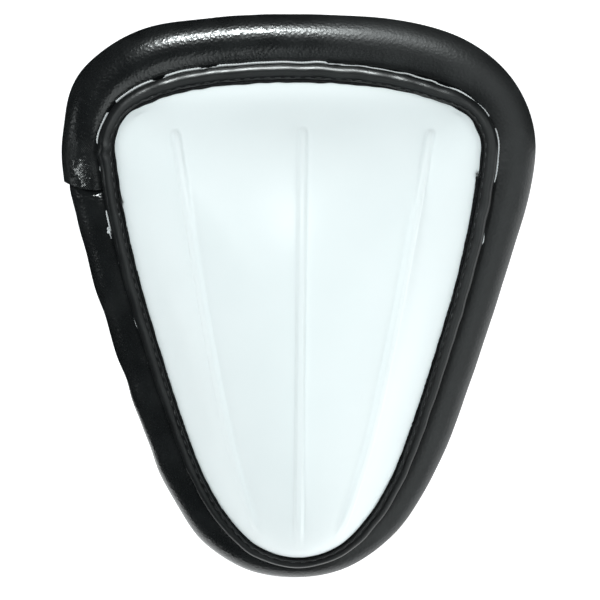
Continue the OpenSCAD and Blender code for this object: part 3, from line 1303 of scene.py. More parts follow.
    def build(self) -> bpy.types.Object:
        """Builds the shell: a grid over the dome, its flange, its wall and its ribs.

        Returns:
            The piece.
        """
        dome = Dome(self.rim)
        plan, ring = self.plan(dome)
        middle, normal = dome.surface(plan)
        outer = middle + normal * (self.wall / 2)
        border = self.rim.sections(ring)
        top = border.at(dome.FLANGE_WIDTH, self.wall / 2)
        border_points = {tuple(np.round(p[:2], 7)): q for p, q in zip(dome.flange_top(ring), top)}
        for line, column in np.ndindex(outer.shape[:2]):
            if line in (0, len(outer) - 1) or column in (0, outer.shape[1] - 1):
                outer[line, column] = border_points[tuple(np.round(plan[line, column], 7))]
        grid = lay_sheet("cup_shell", outer, plan)
        u = np.append(np.array(self.flange_lines) * MM, dome.FLANGE_WIDTH)
        flange_rows = self.rim.sections(np.repeat(ring[:, None], len(u), axis=1))
        flange = flange_rows.at(np.broadcast_to(u, flange_rows.radius.shape), self.wall / 2)
        flange_sheet = lay_sheet("flange", flange, flange[..., :2])
        shell = join([grid, flange_sheet], "cup_shell")
        merge(shell, 0.01 * MM)
        plain = points_of(shell)
        lift = self.rib_height(plain[:, :2])
        thicken(shell, self.wall)
        points = points_of(shell)
        normals = np.zeros(len(points) * 3)
        shell.data.vertices.foreach_get("normal", normals)
        points[: len(plain)] += normals.reshape(-1, 3)[: len(plain)] * lift[:, None]
        set_points(shell, points)
        smooth(shell, 50)
        return shell


# ---- The padded roll ----


@dataclass(frozen=True)
class Lap:
    """The joint of the sleeve's two ends: the upper end lies over the lower one."""

    place: float = 19.13
    step: float = 1.15 * MM
    fade: float = 16.0 * MM
    slant: float = 4.6 * MM
    slant_reach: float = 12.0 * MM
    reach: float = 26.0 * MM
    overhang: float = 0.32 * MM
    pinch: float = 0.3 * MM
    pinch_reach: float = 1.8 * MM
    dent: float = 1.0 * MM
    dent_reach: float = 2.1 * MM
    folds_at: float = -2.2 * MM
    folds_width: float = 1.7 * MM
    fold_height: float = 0.16 * MM
    fold_lift: float = 0.4 * MM

    def slanted(self, gap: np.ndarray, across: np.ndarray) -> np.ndarray:
        """Gives how far each point moves along the rim so that the lines follow the lap.

        Args:
            gap: Distance along the rim from the lap.
            across: Share of the way round the roll, from the back tail to the front.

        Returns:
            The distances.
        """
        lean = smooth_step(across, 0.60, 0.98) ** 1.3
        return -self.slant * lean * bell(gap, self.slant_reach)

    def shape(self, gap: np.ndarray, across: np.ndarray) -> tuple[np.ndarray, np.ndarray]:
        """Gives the relief of the lap.

        Args:
            gap: Distance along the rim from the lap, positive on the upper end.
            across: Share of the way round the roll.

        Returns:
            How far each point moves along the rim, and how far out.
        """
        shown = smooth_step(across, 0.30, 0.46) * (1 - 0.75 * smooth_step(across, 0.86, 1.0))
        upper = smooth_step(gap, -0.12 * MM, 0.12 * MM)
        rise = self.step * (0.25 + 0.75 * np.exp(-np.maximum(gap, 0.0) / self.fade))
        sink = self.pinch * np.exp(np.minimum(gap, 0.0) / self.pinch_reach)
        out = upper * rise - (1 - upper) * sink
        far = bell(gap, self.reach)
        lip = -self.overhang * bell(gap - 0.1 * MM, 0.22 * MM)
        tuck = self.overhang * bell(gap + 0.16 * MM, 0.1 * MM)
        return (lip + tuck) * shown, out * shown * far

    def pucker(self, gap: np.ndarray, across: np.ndarray) -> np.ndarray:
        """Gives the crumpled folds below the lap, near the seam.

        Args:
            gap: Distance along the rim from the lap.
            across: Share of the way round the roll.

        Returns:
            How far each point moves out.
        """
        inner = smooth_step(across, 0.62, 0.76) * (1 - smooth_step(across, 0.93, 1.0))
        below = 1 - smooth_step(gap, -0.3 * MM, 0.0)
        dent = -self.dent * np.exp(np.minimum(gap, 0.0) / self.dent_reach)
        folds = 0.6 * np.sin(gap / (0.30 * MM) + 50 * across)
        folds += 0.4 * np.sin(gap / (0.19 * MM) - 70 * across)
        field = bell(gap - self.folds_at, self.folds_width)
        return inner * below * (dent + field * (self.fold_height * folds + self.fold_lift))

    def distances(self, rim: RimLine, step: float) -> np.ndarray:
        """Gives distances all round the rim, close together at the lap.

        Args:
            rim: The rim's line.
            step: The usual step.

        Returns:
            The distances, from 0 to the whole length.
        """
        here = float(rim.distance(self.place))
        near = np.arange(-9.0, 14.01, 0.3) * MM
        before_lip = (-1.0, -0.8, -0.6, -0.42, -0.3, -0.2, -0.13, -0.06)
        close = np.array([*before_lip, 0.0, 0.06, 0.13, 0.22, 0.35, 0.5]) * MM
        near = np.concatenate([near[near < -1.2 * MM], close, near[near > 0.7 * MM]])
        before = np.linspace(0.0, here - 9.5 * MM, int((here - 9.5 * MM) / step))
        rest = rim.length - here - 14.5 * MM
        after = np.linspace(here + 14.5 * MM, rim.length, int(rest / step))
        return np.concatenate([before, here + near, after])


@dataclass
class PaddedRoll(Part):
    """The vinyl sleeve round the foam: a swollen skin with a tail on each face of the flange."""

    rim: RimLine
    lap: Lap = Lap()
    wall: float = 0.9 * MM
    tail_wall: float = 0.6 * MM
    tail_height: float = 1.86 * MM
    tail_front: float = 0.9 * MM
    tail_back: float = 3.2 * MM
    tail_bend: float = 1.4 * MM
    step: float = 0.68 * MM
    columns: int = 61
    lump: float = 0.26 * MM
    softest_at: float = 0.77
    slack: float = 0.3 * MM
    cap: float = 1.0 * MM
    sim_lines: int = 300
    sim_columns: int = 32
    sim_scale: float = 10.0
    sim_steps: int = 20
    pressure: float = 4.0
    finish: Vinyl = Vinyl("rim_vinyl", duller=0.26)

    # How stiff the skin is while it swells
    STIFFNESS = {"tension": 90.0, "compression": 90.0, "shear": 40.0, "bending": 4.0}

    # How much fuller the roll is than drawn at each row of the rim, in millimetres
    FULLER = (
        *(0.2, 0.1, 0.0, -0.1, 0.9, 1.1, 0.7, 0.9, 0.8, 0.3, -0.3, 0.0),
        *(0.4, 1.2, 1.8, 1.4, 0.6, 0.7, 0.2, -0.4, -0.4, 1.9, 1.2, 0.4),
    )

    def angle(self, radius: np.ndarray, across: np.ndarray) -> np.ndarray:
        """Gives the angle on the roll at shares of the way from the back tail to the front."""
        tail = np.degrees(np.arcsin(self.tail_height / radius))
        return 360 - tail - across * (360 - 2 * tail)

    def lumps(self, turn: np.ndarray, across: np.ndarray) -> np.ndarray:
        """Gives the foam's soft lumps, stronger on the left side.

        Args:
            turn: Place round the rim, where 1 is the whole way.
            across: Share of the way round the roll.

        Returns:
            How far each point moves out.
        """
        left = smooth_step(np.abs(turn - self.softest_at), 0.24, 0.12)
        size = 0.4 + 0.8 * left
        wide = waves(turn, 9, 24, 4) + 0.45 * waves(turn, 24, 42, 9) * (0.4 + 0.6 * left)
        leaning = waves(turn + 0.02 * across, 8, 30, 12)
        relief = self.lump * size * (0.75 * wide + 0.35 * leaning * (across - 0.4))
        place = self.rim.at_turn(turn)
        fuller = curve_through(np.array(self.FULLER)[:, None] * MM, place, True)[..., 0]
        crowd = 1.1 * self.rim.crowd(place) * smooth_step(across, 0.6, 0.88)
        return relief + fuller * bell(across - 0.52, 0.3) + crowd

    def swelling(self) -> np.ndarray:
        """Lets the skin swell against its seams and gives how far it moved out.

        The skin is simulated at ten times its size, held at both seams, from a slightly
        smaller start, and no point may move further than the cap.

        Returns:
            The move of each point of a coarse grid, round the rim and across the roll.
        """
        lines, columns = self.sim_lines, self.sim_columns
        distance = np.linspace(0.0, self.rim.length, lines + 1)
        section = self.rim.grid(distance, columns)
        across = np.broadcast_to(np.linspace(0.0, 1.0, columns), section.radius.shape)
        turn = np.broadcast_to((distance / self.rim.length)[:, None], across.shape)
        start = section.radius - self.slack * np.sin(np.pi * across) + self.lumps(turn, across)
        points = section.on_roll(start, self.angle(section.radius, across))
        points[-1] = points[0]
        skin = lay_sheet("skin", points * self.sim_scale, flat(turn, across))
        index = skin.data.attributes.new("place", "INT", "POINT")
        index.data.foreach_set("value", np.arange(lines * columns + columns) % (lines * columns))
        seams = skin.vertex_groups.new(name="seams")
        ends = [i * columns + j for i in range(lines + 1) for j in (0, columns - 1)]
        seams.add(ends, 1.0, "REPLACE")
        merge(skin, 0.01 * MM)
        cloth = skin.modifiers.new("cloth", "CLOTH")
        cloth.settings.use_pressure = True
        cloth.settings.uniform_pressure_force = self.pressure
        cloth.settings.vertex_group_mass = seams.name
        cloth.settings.effector_weights.gravity = 0.0
        for name, value in self.STIFFNESS.items():
            setattr(cloth.settings, f"{name}_stiffness", value)
        for step in range(self.sim_steps):
            bpy.context.scene.frame_set(step + 1)
        take(skin)
        bpy.ops.object.modifier_apply(modifier=cloth.name)
        bpy.context.scene.frame_set(1)
        order = np.zeros(len(skin.data.vertices), int)
        skin.data.attributes["place"].data.foreach_get("value", order)
        swollen = np.zeros((lines * columns, 3))
        swollen[order] = points_of(skin) / self.sim_scale
        swollen = swollen.reshape(lines, columns, 3)
        bpy.data.meshes.remove(skin.data)
        moved = np.linalg.norm(swollen - section.middle[:lines], axis=-1) - start[:lines]
        LOG.info("the skin swelled by %.2f mm at most", moved.max() / MM)
        return self.cap * np.tanh(moved / self.cap)

    def swollen_by(self, turn: np.ndarray, across: np.ndarray) -> np.ndarray:
        """Gives the swelling at any point of the roll, from the simulated grid.

        Args:
            turn: Place round the rim, where 1 is the whole way.
            across: Share of the way round the roll.

        Returns:
            How far each point moves out.
        """
        grid = self.swelling()
        lines, columns = grid.shape
        place = turn[:, 0] * lines
        at_lines = curve_through(grid, place, True)
        at = across * (columns - 1)
        whole = np.clip(np.floor(at).astype(int), 0, columns - 2)
        t = at - whole

        def column(step: int) -> np.ndarray:
            """Gives the values a few columns on from each point."""
            return np.take_along_axis(at_lines, np.clip(whole + step, 0, columns - 1), axis=1)

        return curve_piece(column, t)

    def build(self) -> bpy.types.Object:
        """Builds the sleeve.

        Returns:
            The piece.
        """
        distance = self.lap.distances(self.rim, self.step)
        across = np.broadcast_to(np.linspace(0.0, 1.0, self.columns), (len(distance), self.columns))
        along = np.repeat(distance[:, None], self.columns, axis=1)
        turn = along / self.rim.length
        gap = along - self.rim.distance(self.lap.place)
        slip, rise = self.lap.shape(gap, across)
        shifted = along + self.lap.slanted(gap, across) + slip
        section = self.rim.sections(self.rim.place(shifted))
        held = np.sin(np.pi * np.clip(across, 0.0, 1.0)) ** 0.35
        radius = section.radius - self.slack * np.sin(np.pi * across)
        radius = radius + self.lumps(turn, across) * held + self.swollen_by(turn, across)
        radius = radius + rise + self.lap.pucker(gap, across)
        angle = self.angle(section.radius, across)
        points = section.on_roll(radius, angle)
        back_line, front_line = (
            self.rim.place(distance + self.lap.slanted(gap[:, end], across[:, end]))
            for end in (0, -1)
        )
        ends = self.rim.sections(back_line)
        back = [ends.at(u, -self.tail_height) for u in (self.tail_back, self.tail_bend)]
        front_u = self.tail_front + self.rim.crowd(front_line)
        front = self.rim.sections(front_line).at(front_u, self.tail_height)
        points = np.concatenate([np.stack(back, axis=1), points, front[:, None]], axis=1)
        points[..., 2] = np.maximum(points[..., 2], 0.0)
        points[-1] = points[0]
        lines, columns = points.shape[:2]
        around = np.linalg.norm(np.diff(points, axis=1), axis=2)
        around = np.concatenate([np.zeros((lines, 1)), np.cumsum(around[:, ::-1], axis=1)], axis=1)
        sleeve = lay_sheet("rim_sleeve", points, flat(distance[:, None], around[:, ::-1]))
        thick = sleeve.vertex_groups.new(name="thick")
        middle = [i * columns + j for i in range(lines) for j in range(5, columns - 4)]
        thick.add(middle, 1.0, "REPLACE")
        merge(sleeve)
        thin = self.tail_wall / self.wall
        thicken(sleeve, self.wall, vertex_group=thick.name, thickness_vertex_group=thin)
        smooth(sleeve, 60)
        return sleeve

    def dress(self, sleeve: bpy.types.Object) -> None:
        """Gives the sleeve its finish, with creases above the lap."""
        at = float(self.rim.distance(self.lap.place)) / MM
        dress(sleeve, replace(self.finish, crease_at=at).material())


@dataclass
class FoamCore(Part):
    """The foam inside the roll."""

    rim: RimLine
    clearance: float = 1.25 * MM
    lines: int = 320
    columns: int = 25
    unevenness: float = 0.12 * MM
    finish: Foam = Foam()

    def build(self) -> bpy.types.Object:
        """Builds the foam.

        Returns:
            The piece.
        """
        distance = np.linspace(0.0, self.rim.length, self.lines)
        section = self.rim.grid(distance, self.columns)
        turn = (distance / self.rim.length)[:, None]
        angle = np.broadcast_to(np.linspace(360.0, 0.0, self.columns), section.radius.shape)
        rough = waves(turn + 0.3 * np.sin(np.radians(angle)) / 40, 40, 90, 3)
        radius = section.radius - self.clearance + self.unevenness * rough
        points = section.on_roll(radius, angle)
        points[..., 2] = np.maximum(points[..., 2], 1.0 * MM)
        points[-1] = points[0]
        points[:, -1] = points[:, 0]
        spread = flat(distance[:, None], radius * np.radians(angle))
        core = lay_sheet("rim_foam_core", points, spread, True)
        smooth(core, 80)
        return core


# ---- The binding ----


@dataclass
class Welt(Part):
    """The welt: a vinyl strip folded round its filler cord, with its tail on the inner tape."""

    rim: RimLine
    bead: float = 1.0 * MM
    bead_waist: float = 1.3 * MM
    flatness: float = 0.25
    wall: float = 0.35 * MM
    bead_u: float = 0.95 * MM
    bead_v: float = 2.72 * MM
    tail_v: float = 2.32 * MM
    tail_u: float = 4.0 * MM
    joint: float = 19.5
    sideways: float = 0.11 * MM
    joint_fold: float = 0.45 * MM
    uneven: float = 0.08 * MM
    joint_rise: float = 0.3 * MM
    edge_wave: float = 0.10 * MM
    puff: float = 0.03 * MM
    stitch_dip: float = 0.1 * MM
    lines: int = 620
    finish: Vinyl = Vinyl(
        "welt_vinyl", roughness=0.27, grain=0.55 * MM, grain_depth=0.02 * MM, pressed_from=5.4
    )

    def bead_radius(self, place: np.ndarray) -> np.ndarray:
        """Gives the bead's radius: fatter round the waist end."""
        from_waist = np.minimum(place % ROWS, ROWS - place % ROWS)
        waist = 1 - smooth_step(from_waist, 4.0, 9.0)
        return self.bead + (self.bead_waist - self.bead) * waist

    def lift(self, place: np.ndarray) -> np.ndarray:
        """Gives how much the bead's middle rises where it is fatter."""
        return self.bead_radius(place) - self.bead

    def wander(self, turn: np.ndarray) -> tuple[np.ndarray, np.ndarray]:
        """Gives how the bead wanders sideways and in height round the rim.

        Args:
            turn: Place round the rim, where 1 is the whole way.

        Returns:
            How far it moves up the flange, and how far out.
        """
        joint = float(self.rim.distance(self.joint)) / self.rim.length
        near = (turn - joint) * self.rim.length
        fold = bell(near - 1.2 * MM, 1.0 * MM) - 0.9 * bell(near + 0.9 * MM, 0.9 * MM)
        side = self.sideways * waves(turn, 14, 46, 21) + self.joint_fold * fold
        side = side + self.rim.crowd(self.rim.at_turn(turn))
        height = self.uneven * waves(turn, 20, 60, 22)
        return side, height + self.joint_rise * bell(near, 2.2 * MM)

    def profile(self, turn: np.ndarray) -> tuple[np.ndarray, np.ndarray]:
        """Gives the strip's section all round the rim.

        Args:
            turn: Place round the rim, where 1 is the whole way.

        Returns:
            u and v of the strip's outer face, from the bead's foot to the tail's edge.
        """
        side, height = self.wander(turn)
        place = self.rim.at_turn(turn)[:, None]
        bead = self.bead_radius(place)
        lift = bead - self.bead
        arc = np.radians(np.linspace(285.0, -16.0, 22))
        oval = self.flatness * (bead / self.bead) ** 2
        middle = self.bead_u + lift + oval * bead + side[:, None]
        u = middle + (1 + oval) * bead * np.cos(arc)
        v = self.bead_v + lift + height[:, None] + bead * np.sin(arc)
        tail = np.array([0.1, 0.3, 0.55, 0.72, 0.88])
        edge = self.tail_u + 0.8 * lift + self.rim.crowd(place)
        edge = edge + self.edge_wave * waves(turn, 18, 70, 24)[:, None]
        tail_u = u[:, -1:] + (edge - u[:, -1:]) * tail
        sewn = -self.stitch_dip * bell(tail - 0.6, 0.25)
        puffs = self.puff * waves(turn, 60, 170, 23)[:, None] * [0.3, 0.8, 0.2, 0.8, 1.0]
        u = np.concatenate([u, tail_u, edge], axis=1)
        tail_v = self.tail_v + sewn + puffs
        v = np.concatenate([v, tail_v, tail_v[:, -1:] - 0.03 * MM], axis=1)
        return u, v

    def build(self) -> bpy.types.Object:
        """Builds the welt's cover.

        Returns:
            The piece.
        """
        distance = np.linspace(0.0, self.rim.length, self.lines)
        u, v = self.profile(distance / self.rim.length)
        points = self.rim.grid(distance, u.shape[1]).at(u, v)
        points[-1] = points[0]
        across = run_up(np.linalg.norm(np.diff(points, axis=1), axis=2).mean(0))
        cover = lay_sheet("welt_cover", points, flat(distance[:, None], across), True)
        thicken(cover, self.wall)
        smooth(cover, 60)
        return cover


@dataclass
class Cord(Part):
    """A twisted cord of two strands that follows the rim beside the welt."""

    welt: Welt
    name: str
    radius: float
    pitch: float
    lines: int
    columns: int
    finish: Yarn
    twofold: float = 0.16

    def path(self, distance: np.ndarray) -> tuple[np.ndarray, np.ndarray, np.ndarray]:
        """Gives the cord's line.

        Args:
            distance: Distances along the rim.

        Returns:
            u and v of the cord's middle, and its radius.
        """
        raise NotImplementedError

    def build(self) -> bpy.types.Object:
        """Builds the cord.

        Returns:
            The piece.
        """
        distance = np.linspace(0.0, self.rim.length, self.lines)
        u, v, radius = self.path(distance)
        section = self.rim.grid(distance, self.columns)
        turns = round(self.rim.length / self.pitch)
        twist = math.tau * turns * distance / self.rim.length
        angle = np.linspace(math.tau, 0.0, self.columns)
        lobes = 1 + self.twofold * np.cos(2 * (angle - twist[:, None]))
        reach = radius[:, None] * lobes
        points = section.at(u[:, None] + reach * np.cos(angle), v[:, None] + reach * np.sin(angle))
        points[-1] = points[0]
        points[:, -1] = points[:, 0]
        cord = lay_sheet(self.name, points, flat(distance[:, None], angle * self.radius), True)
        smooth(cord, 80)
        return cord

    @property
    def rim(self) -> RimLine:
        """Gives the rim's line."""
        return self.welt.rim


@dataclass
class FillerCord(Cord):
    """The cotton cord inside the welt's bead."""

    def path(self, distance: np.ndarray) -> tuple[np.ndarray, np.ndarray, np.ndarray]:
        """Gives the cord's line in the middle of the bead.

        Args:
            distance: Distances along the rim.

        Returns:
            u and v of the cord's middle, and its radius.
        """
        side, height = self.welt.wander(distance / self.rim.length)
        lift = self.welt.lift(self.rim.place(distance))
        return self.welt.bead_u + lift + side, self.welt.bead_v + lift + height, self.radius + lift


@dataclass
class SeamCord(Cord):
    """The white cord in the seam between the roll and the welt.

    It shows where the seam opens a little, and sinks between roll and welt elsewhere.
    """

    open_gap: float = 0.06 * MM
    sunk: float = 0.62 * MM
    taper: float = 0.14
    sunk_radius: float = 0.72
    sunk_gap: float = 0.35
    crowded: float = 0.8

    # Where the cord shows, as places round the rim: start, end and how much
    SHOWN = (
        (-4.95, -4.68, 0.9),
        (-4.46, -3.36, 1.0),
        (-3.22, -1.93, 1.0),
        (-1.87, -1.02, 1.0),
        (-1.0, 0.42, 0.9),
        (0.42, 0.68, 0.7),
        (0.69, 1.32, 0.65),
        (1.36, 1.8, 0.4),
        (1.87, 3.68, 0.9),
        (3.76, 5.14, 0.95),
        (5.28, 5.82, 0.8),
        (6.08, 6.56, 0.7),
        (6.95, 7.17, 0.5),
        (7.74, 8.05, 0.6),
        (8.06, 9.4, 0.7),
        (13.5, 13.98, 0.6),
        (15.05, 15.73, 0.7),
        (16.5, 16.8, 0.6),
        (17.27, 17.67, 0.75),
        (17.99, 18.22, 0.9),
        (18.33, 18.74, 1.0),
    )

    def shown(self, place: np.ndarray) -> np.ndarray:
        """Gives how much of the cord shows at each place, from 0 to 1.

        Args:
            place: Places round the rim.

        Returns:
            How much shows.
        """
        total = np.zeros_like(place)
        for start, end, most in self.SHOWN:
            for turn in (0, ROWS):
                ramp = min(0.4 * (end - start), self.taper)
                begin = smooth_step(place, start + turn, start + turn + ramp)
                done = 1 - smooth_step(place, end + turn - ramp, end + turn)
                total = np.maximum(total, most * np.minimum(begin, done))
        return total

    def path(self, distance: np.ndarray) -> tuple[np.ndarray, np.ndarray, np.ndarray]:
        """Gives the cord's line on the roll, just outside the welt.

        Args:
            distance: Distances along the rim.

        Returns:
            u and v of the cord's middle, and its radius.
        """
        place = self.rim.place(distance)
        radius = self.rim.sections(place).radius
        side, height = self.welt.wander(distance / self.rim.length)
        show = self.shown(place)
        reach = radius + self.radius + self.open_gap - self.sunk * (1 - show)
        lift = self.welt.lift(place)
        bead_u = radius + self.rim.ROLL_GAP + self.welt.bead_u + lift + side
        bead_v = self.welt.bead_v + lift + height
        bead = np.hypot(bead_u, bead_v)
        reach = reach + self.crowded * self.rim.crowd(place)
        opening = self.sunk_gap + (1 - self.sunk_gap) * show
        gap = (self.radius + 2 * self.open_gap) * opening
        gap = self.welt.bead_radius(place) + gap
        cosine = np.clip((reach**2 + bead**2 - gap**2) / (2 * reach * bead), -1.0, 1.0)
        angle = np.arctan2(bead_v, bead_u) + np.arccos(cosine)
        u = reach * np.cos(angle) - radius - self.rim.ROLL_GAP
        thick = self.radius * (self.sunk_radius + (1 - self.sunk_radius) * show)
        return u, reach * np.sin(angle), thick


@dataclass
class Knot(Part):
    """The knot and the short tail where the seam cord's ends meet on the left."""

    cord: SeamCord
    place: float = 18.42
    level_at: float = 18.5
    raised: float = 0.45 * MM
    size: float = 0.26 * MM
    shape: tuple = (1.25, 0.8, 0.9)
    radius: float = 0.24 * MM
    tail: tuple = (3.6 * MM, 1.6 * MM, 1.5 * MM)
    tail_radius: float = 0.16 * MM
    finish: Yarn = Yarn(Fibre.WHITE)

    def build(self) -> bpy.types.Object:
        """Builds the knot.

        Returns:
            The piece.
        """
        rim = self.cord.rim
        section = rim.sections(np.array([self.place]))
        u, v, _ = self.cord.path(rim.distance(np.array([self.level_at])))
        middle = section.at(u - 0.1 * MM, v + self.raised)[0]
        run = unit(rim.sections(np.array([self.place - 0.1])).edge[0] - section.edge[0])
        ways = np.stack([run, section.up[0], section.front[0]])
        t = np.linspace(0.0, math.tau, 91)
        x, y = np.sin(t) + 2 * np.sin(2 * t), np.cos(t) - 2 * np.cos(2 * t)
        loop = np.stack([x, y, -np.sin(3 * t)], axis=1) * self.shape
        loop[-1] = loop[0]
        line = middle + self.size * loop @ ways
        knot = self.string("seam_cord_knot", line, self.radius, 10)
        steps = np.linspace(0.0, 1.0, 25)[:, None]
        bend = steps ** [1, 2, 2] * self.tail * [1, -1, -1]
        tail = self.string("seam_cord_tail", middle + bend @ ways, self.tail_radius, 8)
        return join([knot, tail], "seam_cord_knot")

    def string(self, name: str, line: np.ndarray, radius: float, columns: int) -> bpy.types.Object:
        """Builds a plain string along a line, closed at its ends.

        Args:
            name: The piece's name.
            line: The points that it follows.
            radius: Its radius.
            columns: How many faces it has round its section.

        Returns:
            The piece.
        """
        run = unit(np.gradient(line, axis=0))
        side = unit(np.cross(run, [0.3, 0.2, 0.93]))
        lift = np.cross(run, side)
        angle = np.linspace(0.0, math.tau, columns + 1)[:, None, None]
        ends = np.ones(len(line))
        if np.linalg.norm(line[0] - line[-1]) > 1e-9:
            ends[0] = ends[-1] = 0.0
        around = (side * np.cos(angle) + lift * np.sin(angle)) * (radius * ends)[:, None]
        points = (line + around).transpose(1, 0, 2)
        points[-1] = points[0]
        length = run_up(np.linalg.norm(np.diff(line, axis=0), axis=1))
        string = lay_sheet(name, points, flat(length, angle[..., 0] * radius), True)
        work_on(string, bpy.ops.mesh.normals_make_consistent, inside=False)
        smooth(string, 80)
        return string


@dataclass
class FlatTape(Part):
    """A length of tape laid on the flange, with wavy cut edges."""

    rim: RimLine
    name: str
    start: float
    end: float
    widths: tuple
    inner_u: float = 1.0 * MM
    face_v: float = 1.86 * MM
    wall: float = 0.6 * MM
    step: float = 0.55 * MM
    wavy: float = 0.10 * MM
    rounded: float = 0.07 * MM
    curl: float = 0.06 * MM
    turned_down: float = 0.05 * MM
    jagged: float = 0.0
    behind: bool = False
    seed: int = 31
    finish: Tape = Tape()

    def build(self) -> bpy.types.Object:
        """Builds the tape.

        Returns:
            The piece.
        """
        whole = self.end - self.start >= ROWS
        length = self.rim.distance(self.end) - self.rim.distance(self.start)
        count = int(length / self.step)
        distance = self.rim.spread(self.start, self.end, count)
        turn = distance / self.rim.length
        keys = np.array(self.widths, float)
        edge = np.interp(self.rim.place(distance), keys[:, 0], keys[:, 1] * MM)
        edge = edge + self.wavy * waves(turn, 20, 80, self.seed)
        edge = edge + self.jagged * waves(turn, 150, 330, self.seed + 1)
        share = np.array([0.0, 0.25, 0.5, 0.7, 0.85, 0.95, 1.0])
        u = self.inner_u + (edge - self.inner_u)[:, None] * share
        lift = self.curl * waves(turn, 30, 110, self.seed + 2)[:, None] * share**2
        v = self.face_v + lift - self.turned_down * share**6
        section = self.rim.grid(distance, len(share))
        points, spread = section.at(u, v), flat(distance[:, None], u)
        if self.behind:
            points, spread = section.at(u, -v)[:, ::-1], spread[:, ::-1]
        if whole:
            points[-1] = points[0]
        tape = lay_sheet(self.name, points, spread, whole)
        thicken(tape, self.wall)
        sharp = math.radians(50.0)
        modify(
            tape, "BEVEL", width=self.rounded, segments=2, limit_method="ANGLE", angle_limit=sharp
        )
        smooth(tape, 50)
        return tape


@dataclass
class Fray(Part):
    """Loose fibres at a tape's cut end: one fibre modelled and copied."""

    rim: RimLine
    name: str
    place: float
    u_from: float
    u_to: float
    thickness: float = 0.09 * MM
    length: float = 1.0 * MM
    bends: tuple = (0.3, 0.65)
    count: int = 44
    seed: int = 5
    finish: Yarn = Yarn(Fibre.BLACK)

    def fibre(self) -> bpy.types.Object:
        """Models one fibre that stands on its end, with rings to bend it at.

        Returns:
            The fibre.
        """
        fibre = primitive(
            bpy.ops.mesh.primitive_cylinder_add,
            vertices=5,
            radius=self.thickness / 2,
            depth=self.length,
            location=(0, 0, self.length / 2),
        )
        for share in self.bends:
            at = (0, 0, share * self.length)
            work_on(fibre, bpy.ops.mesh.bisect, plane_co=at, plane_no=(0, 0, 1))
        return fibre

    def laid(self, straight: np.ndarray, rng: np.random.Generator) -> np.ndarray:
        """Gives a fibre's vertices where it lies at the tape's end.

        Args:
            straight: The vertices of the modelled fibre.
            rng: Where the random draws come from.

        Returns:
            The vertices.
        """
        section = self.rim.sections(np.array([self.place + rng.normal(0, 0.02)]))
        u, v = rng.uniform(self.u_from, self.u_to), rng.uniform(1.35, 1.95) * MM
        root = section.at(np.array([u]), np.array([v]))[0]
        up, front = section.up[0], section.front[0]
        way = np.cross(front, up) * rng.normal(0, 0.7)
        way = way + up * rng.normal(0.9, 0.5) + front * rng.uniform(0, 0.5)
        way = unit(way)
        side = unit(np.cross(way, front))
        top = np.cross(side, way)
        z = straight[:, 2] * rng.uniform(0.5, 1.3)
        droop = rng.normal(0, 0.35) * (z / self.length) ** 2 * self.length
        thin = 1 - 0.5 * straight[:, 2] / self.length
        across = np.outer(straight[:, 0] * thin + droop, side)
        return root + np.outer(z, way) + across + np.outer(straight[:, 1] * thin, top)

    def build(self) -> bpy.types.Object:
        """Builds the fibres.

        Returns:
            The piece.
        """
        rng = np.random.default_rng(self.seed)
        model = self.fibre()
        copies = [copy_of(model) for _ in range(self.count)]
        for copy in copies:
            set_points(copy, self.laid(points_of(model), rng))
        bpy.data.meshes.remove(model.data)
        fray = join(copies, self.name)
        smooth(fray, 80)
        return fray


@dataclass
class Stitching(Part):
    """A row of stitches round the rim: one stitch modelled and copied."""

    rim: RimLine
    name: str
    u: float
    v: float
    behind: bool = False
    pitch: float = 2.8 * MM
    length: float = 1.75 * MM
    thickness: float = 0.32 * MM
    pushed: float = 1.7
    seed: int = 41
    welt: Welt | None = None
    finish: Yarn = Yarn(Fibre.BLACK)

    def stitch(self) -> bpy.types.Object:
        """Models one stitch along x, its ends sunk into the tape.

        Returns:
            The stitch.
        """
        stitch = primitive(
            bpy.ops.mesh.primitive_cylinder_add,
            vertices=8,
            radius=self.thickness / 2,
            depth=self.length,
            rotation=(0, math.pi / 2, 0),
            end_fill_type="TRIFAN",
        )
        for share in (-0.42, -0.25, 0.0, 0.25, 0.42):
            at = (share * self.length, 0, 0)
            work_on(stitch, bpy.ops.mesh.bisect, plane_co=at, plane_no=(1, 0, 0))
        points = points_of(stitch)
        t = points[:, 0] / self.length * 2
        round_end = np.sqrt(np.clip(1 - np.abs(t) ** 5, 0.12, 1.0))
        points[:, 1:] *= round_end[:, None]
        points[:, 2] += self.thickness * (0.38 - 0.62 * np.abs(t) ** 3)
        set_points(stitch, points)
        return stitch

    def build(self) -> bpy.types.Object:
        """Builds the row.

        Returns:
            The piece.
        """
        rng = np.random.default_rng(self.seed)
        model = self.stitch()
        drawn = points_of(model)
        count = int(self.rim.length / self.pitch)
        side = -1.0 if self.behind else 1.0
        copies = []
        for i in range(count):
            at = (i + rng.normal(0, 0.03)) * self.rim.length / count
            lean = rng.normal(0.0, 0.05)
            section = self.rim.sections(self.rim.place(at + drawn[:, 0]))
            aside = 0.0
            if self.welt:
                place = self.rim.place(at)
                aside = self.rim.crowd(place) + self.pushed * self.welt.lift(place)
            u = self.u + aside + side * drawn[:, 1] + lean * drawn[:, 0] + rng.normal(0, 0.02) * MM
            copies.append(copy_of(model))
            set_points(copies[-1], section.at(u, side * (self.v + drawn[:, 2])))
            set_spread(copies[-1], drawn[:, :2])
        bpy.data.meshes.remove(model.data)
        row = join(copies, self.name)
        work_on(row, bpy.ops.mesh.normals_make_consistent, inside=False)
        smooth(row, 60)
        return row


# ---- The studio ----


